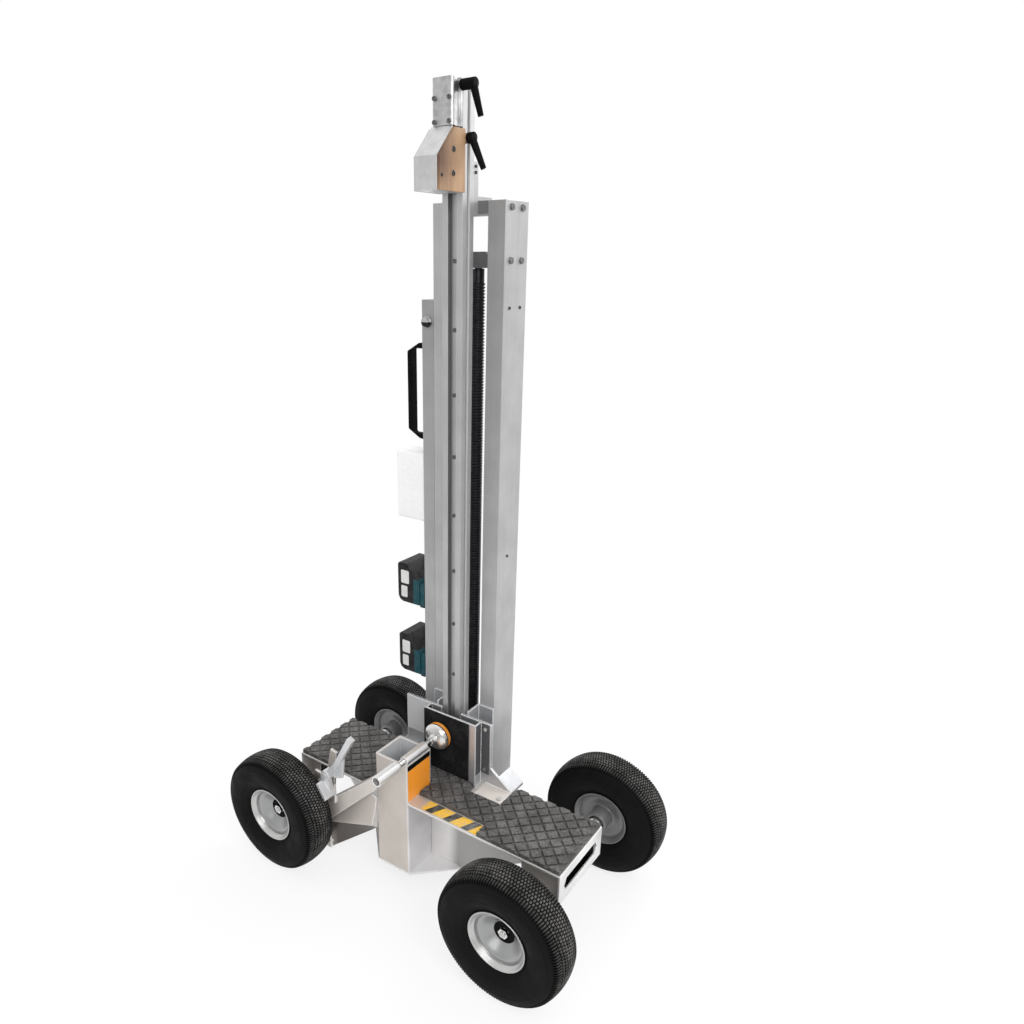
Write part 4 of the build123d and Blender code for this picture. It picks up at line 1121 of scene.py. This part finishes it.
def arc(first: Pair, middle: Pair, last: Pair, count: int) -> np.ndarray:
    """Draw the arc through three points of a plane.

    Args:
        first: where it starts.
        middle: a point on it.
        last: where it ends.
        count: number of points.

    Returns:
        Evenly spaced points on the arc.
    """
    a, b, c = (complex(*p) for p in (first, middle, last))
    w = (c - a) / (b - a)
    centre = (b - a) * (w - abs(w) ** 2) / (2j * w.imag) + a
    turn = np.angle((b - centre) / (a - centre)) + np.angle((c - centre) / (b - centre))
    angles = np.angle(a - centre) + turn * np.linspace(0.0, 1.0, count)
    radius = abs(a - centre)
    return np.column_stack((centre.real + radius * np.cos(angles), centre.imag + radius * np.sin(angles)))


def quads(rows: int, count: int, closed: bool = False) -> list[Face]:
    """Return the faces between rings of points.

    Args:
        rows: number of rings.
        count: number of points in each ring.
        closed: whether the last ring meets the first.

    Returns:
        The faces.
    """
    faces = []
    for i in range(rows if closed else rows - 1):
        for j in range(count):
            k, m = (i + 1) % rows, (j + 1) % count
            faces.append((i * count + j, i * count + m, k * count + m, k * count + j))
    return faces


def joined(shapes: Sequence[Shape]) -> Shape:
    """Put shapes together into one.

    Args:
        shapes: points and faces of each shape.

    Returns:
        The points and faces of all.
    """
    faces: list[Face] = []
    start = 0
    for points, own_faces in shapes:
        faces += [tuple(start + number for number in face) for face in own_faces]
        start += len(points)
    return np.vstack([points for points, _ in shapes]), faces


def turned(section: np.ndarray, steps: int) -> Shape:
    """Turn a closed section of (radius, y) points about the Y axis.

    Args:
        section: points of the section, in order.
        steps: number of steps round the axis.

    Returns:
        The points and the faces of the ring.
    """
    angles = np.linspace(0.0, FULL_TURN, steps, endpoint=False)
    radius, y = section[:, 0], section[:, 1]
    axes = (np.outer(np.sin(angles), radius), np.tile(y, (steps, 1)), np.outer(np.cos(angles), radius))
    return np.stack(axes, axis=-1).reshape(-1, 3), quads(steps, len(section), closed=True)


@dataclass
class Assembly:
    """A part of the object: CAD nodes that it dresses and pieces that it builds."""

    NODES: ClassVar[dict[str, tuple[str, ...]]] = {}
    SOFT: ClassVar[dict[str, float]] = {}

    finishes: Finishes

    def dress(self) -> None:
        """Give the CAD nodes the finishes named for them, and round the sharp edges of some."""
        for name, nodes in self.NODES.items():
            finish = getattr(self.finishes, name)
            for node in nodes:
                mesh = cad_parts[node].data
                mesh.materials.clear()
                mesh.materials.append(finish)
                LOG.info("dressed %s in %s", node, finish.name)
        for node, width in self.SOFT.items():
            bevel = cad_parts[node].modifiers.new("soft edges", "BEVEL")
            bevel.width = width
            bevel.segments = 3
            bevel.limit_method = "ANGLE"
            bevel.angle_limit = math.radians(50.0)

    def build(self) -> None:
        """Build the pieces that the CAD doesn't show, if there are any."""


@dataclass
class Wheels(Assembly):
    """Four pneumatic wheels with a block tread."""

    NODES = {"black": ("wheel_bearings",), "chrome": ("axle_nuts",), "zinc": ("axles",)}

    wheel_x: float = 0.310
    wheel_y: float = 0.219
    radius: float = 0.140
    bead_radius: float = 0.0606
    bead_half: float = 0.030
    wall_start: Pair = (0.067, -0.030)
    wall_middle: Pair = (0.106, -0.044)
    shoulder: Pair = (0.134, -0.036)
    arc_points: int = 60
    steps: int = 180
    rings: tuple[float, ...] = (0.0735, 0.0765, 0.090, 0.113)
    ring_height: float = 0.0007
    ring_half: float = 0.0008
    ring_edge: float = 1.6
    groove: float = 0.0030
    groove_run: float = 0.002
    sink: float = 0.0006
    chamfer: float = 0.0005
    block_step: float = 0.004
    shoulder_bars: int = 144
    bar_end: float = 0.1265
    bar_gap: float = 0.0012
    bar_left: Pair = (0.0, 0.10)
    bar_right: Pair = (0.60, 0.76)
    inner_blocks: int = 136
    block_share: float = 0.74
    rows: tuple[float, ...] = (-0.0195, -0.0117, -0.0039, 0.0039, 0.0117, 0.0195)
    row_half: float = 0.0031
    rim_steps: int = 96
    seal_steps: int = 48
    seal: tuple[Pair, ...] = (
        (0.0122, -0.0017), (0.0122, -0.0028), (0.0226, -0.0030), (0.0230, -0.0026), (0.0230, -0.0017),
    )

    @cached_property
    def outer_line(self) -> tuple[np.ndarray, np.ndarray, np.ndarray]:
        """The tyre's outer line, from bead to bead.

        Returns:
            Its points, outward directions and running length.
        """
        wall = arc(self.wall_start, self.wall_middle, self.shoulder, self.arc_points)
        far = (self.shoulder[0], -self.shoulder[1])
        crown = arc(self.shoulder, (self.radius, 0.0), far, self.arc_points)
        other = wall[::-1] * (1.0, -1.0)
        line = np.vstack((wall, crown[1:], other[1:]))
        along = np.gradient(line, axis=0)
        along /= np.linalg.norm(along, axis=1)[:, None]
        out = np.column_stack((along[:, 1], -along[:, 0]))
        run = np.concatenate(([0.0], np.cumsum(np.linalg.norm(np.diff(line, axis=0), axis=1))))
        return line, out, run

    def wall_run(self, radius: float) -> float:
        """Return the running length at a radius of the first wall."""
        line, _, run = self.outer_line
        return float(np.interp(radius, line[: self.arc_points, 0], run[: self.arc_points]))

    def carcass(self) -> Shape:
        """Build the ring under the tread, with raised rings on its walls.

        Returns:
            Its points and faces.
        """
        line, out, run = self.outer_line
        from_end = np.minimum(run, run[-1] - run)
        past_edge = from_end - self.wall_run(self.bar_end)
        lift = -self.groove * np.clip(past_edge / self.groove_run, 0.0, 1.0)
        for ring in self.rings:
            offset = np.abs(from_end - self.wall_run(ring))
            lift += self.ring_height * np.clip(self.ring_edge - offset / self.ring_half, 0.0, 1.0)
        beads = np.array([(self.bead_radius, self.bead_half), (self.bead_radius, -self.bead_half)])
        return turned(np.vstack((line + out * lift[:, None], beads)), self.steps)

    def block(self, left: Sequence[float], right: Sequence[float], runs: Pair) -> Shape:
        """Return one tread block.

        Args:
            left: angles of its left side, at its first and last end.
            right: angles of its right side.
            runs: first and last running length across the tyre.

        Returns:
            The block's points and faces.
        """
        line, out, run = self.outer_line
        begin, end = runs
        count = max(3, int((end - begin) / self.block_step))
        inner = np.linspace(begin + self.chamfer, end - self.chamfer, count)
        places = np.concatenate(([begin], inner, [end]))
        points = []
        for index, place in enumerate(places):
            share = (place - begin) / (end - begin)
            base = np.array([np.interp(place, run, axis) for axis in line.T])
            normal = np.array([np.interp(place, run, axis) for axis in out.T])
            low = base - normal * (self.groove + self.sink)
            high = low if index in (0, len(places) - 1) else base
            inset = self.chamfer / base[0]
            first, last = (side[0] + (side[1] - side[0]) * share for side in (left, right))
            for angle, spot in ((first, low), (first + inset, high), (last - inset, high), (last, low)):
                points.append((spot[0] * math.sin(angle), spot[1], spot[0] * math.cos(angle)))
        return np.array(points), quads(len(places), 4)

    def tread(self) -> Shape:
        """Build the tread: two rows of shoulder bars and the rows of small blocks.

        Returns:
            The points and faces of all blocks.
        """
        line, _, run = self.outer_line
        crown = slice(self.arc_points - 1, 2 * self.arc_points - 1)

        def across(y: float) -> float:
            """Return the running length at a place across the crown."""
            return float(np.interp(y, line[crown, 1], run[crown]))

        low, high = self.wall_run(self.bar_end), across(self.rows[0] - self.row_half - self.bar_gap)
        near, far = (low, high), (run[-1] - high, run[-1] - low)
        blocks = []
        pitch = FULL_TURN / self.shoulder_bars
        for i in range(self.shoulder_bars):
            for start, order, runs in ((i, 1, near), (i + 0.5, -1, far)):
                left, right = (
                    [(start + share) * pitch for share in side[::order]]
                    for side in (self.bar_left, self.bar_right)
                )
                blocks.append(self.block(left, right, runs))
        step = FULL_TURN / self.inner_blocks
        for row, middle in enumerate(self.rows):
            runs = (across(middle - self.row_half), across(middle + self.row_half))
            for i in range(self.inner_blocks):
                start = (i + 0.5 * (row % 2)) * step
                end = start + step * self.block_share
                blocks.append(self.block((start, start), (end, end), runs))
        return joined(blocks)

    @staticmethod
    def rim_section() -> np.ndarray:
        """Draw the section of a pressed rim with its hub, its outside towards minus Y.

        Returns:
            The closed section's (radius, y) points.
        """
        flange = [
            (0.0600, -0.0302), (0.0632, -0.0302), (0.0640, -0.0312), (0.0637, -0.0326), (0.0626, -0.0332),
            (0.0614, -0.0328), (0.0602, -0.0312),
        ]
        outside = [
            (0.0582, -0.0284), (0.0560, -0.0262), (0.0546, -0.0252), (0.0537, -0.0236), (0.0531, -0.0206),
            (0.0524, -0.0196), (0.0513, -0.0198), (0.0503, -0.0206), (0.0490, -0.0205), (0.0450, -0.0186),
            (0.0390, -0.0142), (0.0330, -0.0090), (0.0280, -0.0052), (0.0250, -0.0030), (0.0236, -0.0022),
            (0.0232, -0.0020), (0.0176, -0.0020),
        ]
        inside = [
            (0.0176, 0.0510), (0.0232, 0.0510), (0.0240, 0.0502), (0.0240, 0.0190), (0.0246, 0.0166),
            (0.0264, 0.0152), (0.0300, 0.0150), (0.0360, 0.0168), (0.0440, 0.0202), (0.0484, 0.0212),
            (0.0500, 0.0208), (0.0514, 0.0200), (0.0524, 0.0204), (0.0532, 0.0222), (0.0540, 0.0248),
            (0.0560, 0.0266), (0.0584, 0.0288),
        ]
        return np.array(flange + outside + inside + [(radius, -y) for radius, y in flange[::-1]])

    def places(self) -> tuple[tuple[str, float, float, float], ...]:
        """List the wheels.

        Returns:
            The ending of each wheel's name, the X and Y of its centre and its turn.
        """
        return tuple(
            (f"{end}_{side}", x, y, turn)
            for end, y, turn in (("front", -self.wheel_y, 0.0), ("back", self.wheel_y, math.pi))
            for side, x in (("left", -self.wheel_x), ("right", self.wheel_x))
        )

    def fit(
        self, label: str, shape: Shape, finish: Material, slot: str, replaced: str = "", smooth: int = 0,
        outwards: bool = True,
    ) -> None:
        """Put one shape at all four wheels.

        Args:
            label: start of the pieces' names.
            shape: points and faces round the wheel's centre, the outside towards minus Y.
            finish: material of the pieces.
            slot: material slot of the pieces.
            replaced: start of the names of the CAD nodes that they replace, if any.
            smooth: how many faces are shaded smooth.
            outwards: whether the back pieces are turned to face outwards.
        """
        item = None
        for ending, x, y, turn in self.places():
            name = f"{label}_{ending}"
            item = link(name, item.data) if item else piece(name, shape, finish, smooth)
            item.location = (x, y, self.radius)
            item.rotation_euler = (0.0, 0.0, turn if outwards else 0.0)
            settle(item, f"wheel_{ending}", slot, *([f"{replaced}_{ending}"] if replaced else []))

    def build(self) -> None:
        """Build the tyres, the rims and their hub seals."""
        finishes = self.finishes
        carcass = self.carcass()
        tyre = joined((carcass, self.tread()))
        rim = turned(self.rim_section(), self.rim_steps)
        seal = turned(np.array(self.seal), self.seal_steps)
        self.fit("tread_tyre", tyre, finishes.tyre, "tyre_rubber", "tyre", len(carcass[1]), outwards=False)
        self.fit("pressed_rim", rim, finishes.rim, "rim_paint", "rim", len(rim[1]))
        self.fit("hub_seal", seal, finishes.black, "black_plastic")


@dataclass
class LeadScrew(Assembly):
    """Black lead screw with a real thread between its journals."""

    y: float = 0.121
    crest: float = 0.0135
    root: float = 0.0112
    pitch: float = 0.006
    profile: tuple[float, ...] = (0.0, 0.32, 0.5, 0.82)
    thread_low: float = 0.259
    thread_high: float = 1.298
    segments: int = 26
    core_segments: int = 32
    core: tuple[Pair, ...] = (
        (0.0, 0.224), (0.0075, 0.224), (0.0075, 0.2588), (0.0111, 0.2588), (0.0111, 1.2982),
        (0.0115, 1.2982), (0.0115, 1.324), (0.0075, 1.324), (0.0075, 1.352), (0.0, 1.352),
    )

    def build(self) -> None:
        """Build the thread with its neck and journals in place of the plain screw."""
        turns = int((self.thread_high - self.thread_low) / self.pitch) + 2
        heights = np.concatenate([np.array(self.profile) + i for i in range(-1, turns)]) * self.pitch
        radii = np.tile((self.root, self.root, self.crest, self.crest), turns + 1)[:, None]
        angles = np.linspace(0.0, FULL_TURN, self.segments, endpoint=False)
        level = self.thread_low + heights[:, None] + self.pitch * angles / FULL_TURN
        level = np.clip(level, self.thread_low, self.thread_high)
        axes = (radii * np.cos(angles), self.y + radii * np.sin(angles), level)
        points = np.stack(axes, axis=-1).reshape(-1, 3)
        faces = []
        per_turn = len(self.profile)
        for i in range(len(heights) - per_turn - 1):
            for j in range(self.segments):
                k = (j + 1) % self.segments
                rise = 0 if k else per_turn
                a, b = i * self.segments + j, (i + rise) * self.segments + k
                faces.append((a, b, b + self.segments, a + self.segments))
        core, core_faces = turned(np.array(self.core), self.core_segments)
        core = np.column_stack((core[:, 0], self.y + core[:, 2], core[:, 1]))
        shape = joined(((points, faces), (core, [face[::-1] for face in core_faces])))
        screw = piece("threaded_lead_screw", shape, self.finishes.thread)
        settle(screw, "screw", "dark_metal", "lead_screw")


@dataclass
class Sticker:
    """A thin film with rounded corners stuck on a flat face."""

    name: str
    facing: Facing
    level: float
    low: Pair
    high: Pair
    corner: float = 0.003
    thickness: float = 0.0004
    side: int = 1
    sink: float = 0.0001
    corner_steps: int = 4

    def build(self, finish: Material, body: str, slot: str) -> None:
        """Build the film on its face.

        Args:
            finish: material of the piece.
            body: body that it rides on.
            slot: its material slot.
        """
        first, second, normal = self.facing.value
        left, low = (edge + self.corner for edge in self.low)
        right, high = (edge - self.corner for edge in self.high)
        outline = []
        for x, y, turn in ((right, high, 0.0), (left, high, 0.5), (left, low, 1.0), (right, low, 1.5)):
            for part in range(self.corner_steps + 1):
                angle = math.pi * (turn + 0.5 * part / self.corner_steps)
                outline.append((x + self.corner * math.cos(angle), y + self.corner * math.sin(angle)))
        count = len(outline)
        points = np.zeros((2 * count, 3))
        points[:, [first, second]] = outline * 2
        points[:count, normal] = self.level - self.side * self.sink
        points[count:, normal] = self.level + self.side * self.thickness
        ends = [tuple(range(count))[::-1], tuple(range(count, 2 * count))]
        settle(piece(self.name, (points, ends + quads(2, count)), finish), body, slot)


@dataclass
class ScrewHeads:
    """Domed socket heads on a face across X."""

    name: str
    level: float
    places: Sequence[Point]
    height: float = 0.0016
    segments: int = 20
    profile: tuple[Pair, ...] = (
        (1.0, -0.1), (1.0, 0.35), (0.86, 0.75), (0.55, 1.0), (0.42, 1.0), (0.40, 0.4), (0.0, 0.4),
    )

    def build(self, finish: Material, body: str, slot: str) -> None:
        """Build the heads on both sides, at each (y, z, radius).

        Args:
            finish: material of the piece.
            body: body that it rides on.
            slot: its material slot.
        """
        heads = []
        for side in (-1, 1):
            angles = side * np.linspace(0.0, FULL_TURN, self.segments, endpoint=False)
            for y, z, radius in self.places:
                points = [
                    (
                        side * (self.level + rise * self.height),
                        y + radius * share * math.cos(angle),
                        z + radius * share * math.sin(angle),
                    )
                    for share, rise in self.profile
                    for angle in angles
                ]
                heads.append((np.array(points), quads(len(self.profile), self.segments)))
        settle(piece(self.name, joined(heads), finish), body, slot)


@dataclass
class Deck(Assembly):
    """Deck, trough, post, brake and the foot bracket."""

    NODES = {
        "sheet": ("mast_base",),
        "trough": ("chassis_trough",),
        "keel": ("keel_plate",),
        "bracket": ("foot_bracket", "bracket_angles"),
        "hanger": ("axle_hangers",),
        "post": ("front_post", "clamp_sleeve", "brake_arm"),
        "deck": ("deck_plate",),
        "mat": ("deck_mat",),
        "pad": ("bracket_pad",),
        "lever": ("brake_lever", "brake_pin"),
        "bolt": ("frame_bolts",),
    }
    SOFT = {"frame_bolts": 0.0012}

    post_right: float = -0.0025
    deck_top: float = 0.232
    lip_level: float = 0.1626
    lip_depth: Pair = (-0.0995, 0.0335)
    label_depth: Pair = (-0.121, -0.044)

    def build(self) -> None:
        """Stick on the hazard tape, the post's bare label, and black sheets behind the hand slots that paint
        the shade seen through them.
        """
        finishes = self.finishes
        front, back = self.label_depth
        tape = Sticker("hazard_tape", Facing.TOP, self.deck_top, (0.031, -0.119), (0.174, -0.087))
        tape.build(finishes.tape, "frame", "tan_board")
        label = Sticker("post_label", Facing.RIGHT, self.post_right, (front, 0.2335), (back, 0.3115))
        label.build(finishes.label, "frame", "orange_pad")
        strip = Sticker(
            "post_label_strip", Facing.RIGHT, self.post_right, (front, 0.3118), (back, 0.324), corner=0.002
        )
        strip.build(finishes.black, "frame", "black_plastic")
        # Painted shade: black sheets behind the hand slots.
        front, back = self.lip_depth
        for ending, left, right in (("left", -0.3255, -0.296), ("right", 0.342, 0.3675)):
            shade_lip = Sticker(
                f"slot_shade_lip_{ending}", Facing.TOP, self.lip_level, (left, front), (right, back),
                corner=0.0005, thickness=0.003,
            )
            shade_lip.build(finishes.black, "frame", "dark_metal")


@dataclass
class Mast(Assembly):
    """Columns, cross members, drive and the lift slide."""

    NODES = {
        "column": ("mast_column_left", "upper_guide"),
        "far_column": ("mast_column_right",),
        "tie": ("mast_top_tie",),
        "slide": ("lift_slide",),
        "housing": ("screw_crosshead", "screw_foot_plate", "lift_gearbox", "lift_motor"),
        "zinc": ("screw_bearings", "screw_coupling", "nut_arm"),
        "screw": ("slide_screws",),
        "bronze": ("lead_nut",),
        "head": ("head_block",),
        "hook": ("hook_block", "hook_cover"),
        "board": ("hook_cheeks",),
        "black": ("clamp_lever_upper", "clamp_lever_lower"),
    }
    SOFT = {"slide_screws": 0.0009}

    cheek_level: float = 0.0278
    cheek_screws: tuple[Point, ...] = (
        (-0.0006, 1.5156, 0.0050), (-0.0013, 1.4784, 0.0050), (-0.0350, 1.4735, 0.0032),
    )

    def build(self) -> None:
        """Build the screws in the hook's cheeks."""
        screws = ScrewHeads("hook_cheek_screws", self.cheek_level, self.cheek_screws)
        screws.build(self.finishes.oxide, "hook", "zinc_steel")


@dataclass
class Clamp(Assembly):
    """Screw clamp on the post."""

    NODES = {
        "chrome": ("clamp_screw",),
        "sheet": ("clamp_handle",),
        "satin": ("swivel_foot",),
        "orange": ("foot_pad",),
    }


@dataclass
class LeftSide(Assembly):
    """Cable cover, bow handle, control box and battery packs."""

    NODES = {
        "cover": ("side_cover",),
        "black": ("bow_handle", "battery_latch_upper", "battery_latch_lower", "lift_switch"),
        "white": ("control_box",),
        "pack": ("battery_pack_upper", "battery_pack_lower", "battery_docks"),
    }
    SOFT = {"bow_handle": 0.003, "battery_pack_upper": 0.0025, "battery_pack_lower": 0.0025}

    pack_front: float = 0.082
    pack_lows: Pair = (0.597, 0.419)
    label_left: float = -0.178

    def build(self) -> None:
        """Stick two bare labels on each battery pack."""
        for ending, low in zip(("upper", "lower"), self.pack_lows):
            for part, bottom, top, right in (("low", 0.012, 0.040, -0.160), ("high", 0.046, 0.078, -0.155)):
                label = Sticker(
                    f"pack_label_{ending}_{part}", Facing.FRONT, self.pack_front,
                    (self.label_left, low + bottom), (right, low + top), side=-1,
                )
                label.build(self.finishes.film, f"pack_{ending}", "white_plastic")


@dataclass
class Studio:
    """Floor, light and camera."""

    eye: Point = (0.905389, -1.217846, 1.325526)
    tilt: float = 20.329
    turn: float = 36.265
    lens: float = 27.646
    shift: Pair = (0.06395, 0.0460)
    room_side: Point = (-0.40, 0.75, 0.53)
    room_span: Pair = (-0.70, 0.15)
    room_levels: Pair = (0.45, 1.0)
    floor_half: float = 6.0
    floor_fade: Pair = (0.8, 2.6)
    floor_colour: Colour = (0.9, 0.9, 0.9)
    floor_glow: float = 0.8

    def camera(self) -> None:
        """Place the camera at the photograph's viewing angle."""
        data = bpy.data.cameras.new("camera")
        data.sensor_width = 36.0
        data.lens = self.lens
        data.shift_x, data.shift_y = self.shift
        data.clip_start, data.clip_end = 0.02, 60.0
        camera = link("camera", data)
        camera.location = self.eye
        camera.rotation_euler = (math.radians(90.0 - self.tilt), 0.0, math.radians(self.turn))
        bpy.context.scene.camera = camera

    @staticmethod
    def lamp(name: str, place: Point, aim: Point, size: float, watts: float) -> None:
        """Add one soft area lamp.

        Args:
            name: name of the lamp.
            place: where it stands.
            aim: where it points.
            size: its diameter.
            watts: its power.
        """
        data = bpy.data.lights.new(name, "AREA")
        data.shape = "DISK"
        data.size = size
        data.energy = watts
        lamp = link(name, data)
        lamp.location = place
        lamp.rotation_euler = (Vector(aim) - Vector(place)).to_track_quat("-Z", "Y").to_euler()

    def world(self) -> None:
        """Light the scene with a white room that is greyer behind the camera."""
        world = bpy.data.worlds.new("room")
        world.use_nodes = True
        bpy.context.scene.world = world
        graph = Graph(world.node_tree)
        direction = graph.add("ShaderNodeTexCoord").outputs["Generated"]
        side = graph.vector("DOT_PRODUCT", direction, self.room_side)
        level = graph.span(side, self.room_span, self.room_levels)
        graph.feed(world.node_tree.nodes["Background"].inputs["Color"], level)

    def floor(self) -> None:
        """Lay a pale floor that fades into the room."""
        graph = Surface("pale floor")
        nodes = graph.tree.nodes
        nodes.remove(graph.shader)
        diffuse = graph.add("ShaderNodeBsdfDiffuse")
        graph.feed(diffuse.inputs["Color"], self.floor_colour)
        glow = graph.add("ShaderNodeEmission")
        graph.feed(glow.inputs["Color"], (1.0, 1.0, 1.0))
        path = graph.add("ShaderNodeLightPath")
        seen = path.outputs["Is Camera Ray"]
        for ray in ("Is Glossy Ray", "Is Transmission Ray"):
            seen = graph.larger(seen, path.outputs[ray])
        fade = graph.span(graph.vector("LENGTH", graph.place()), self.floor_fade)
        surface = diffuse
        layers = (
            (graph.times(seen, self.floor_glow), glow),
            (fade, graph.add("ShaderNodeBsdfTransparent")),
        )
        for share, layer in layers:
            mixed = graph.add("ShaderNodeMixShader")
            for socket, value in zip(mixed.inputs, (share, surface.outputs[0], layer.outputs[0])):
                graph.feed(socket, value)
            surface = mixed
        graph.feed(nodes["Material Output"].inputs["Surface"], surface.outputs[0])
        half = self.floor_half
        corners = np.array([(-half, -half, 0.0), (half, -half, 0.0), (half, half, 0.0), (-half, half, 0.0)])
        floor = piece("floor", (corners, [(0, 1, 2, 3)]), graph.material)

    def build(self) -> None:
        """Build the studio."""
        self.camera()
        self.world()
        self.floor()
        self.lamp("key", (2.4, -1.2, 2.6), (0.0, 0.0, 0.7), size=1.8, watts=40.0)
        self.lamp("fill", (1.0, -2.7, 1.5), (0.0, 0.0, 0.6), size=2.0, watts=20.0)
        self.lamp("back", (0.6, 2.4, 2.6), (0.0, 0.0, 0.8), size=1.8, watts=26.0)
        bpy.context.scene.view_settings.view_transform = "Standard"


def main() -> None:
    """Build the studio and the object piece by piece."""
    logging.basicConfig(level=logging.INFO, format="%(message)s")
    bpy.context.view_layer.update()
    Studio().build()
    finishes = Finishes(Effects())
    for assembly in (Wheels, Deck, LeadScrew, Mast, Clamp, LeftSide):
        part = assembly(finishes)
        part.dress()
        part.build()


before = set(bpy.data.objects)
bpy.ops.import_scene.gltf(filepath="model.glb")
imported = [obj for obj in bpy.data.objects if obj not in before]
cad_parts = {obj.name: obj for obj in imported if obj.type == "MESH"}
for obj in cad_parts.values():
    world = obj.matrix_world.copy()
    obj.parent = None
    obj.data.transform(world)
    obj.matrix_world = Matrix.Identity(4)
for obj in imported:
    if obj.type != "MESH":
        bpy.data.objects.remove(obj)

if __name__ == "__main__":
    main()
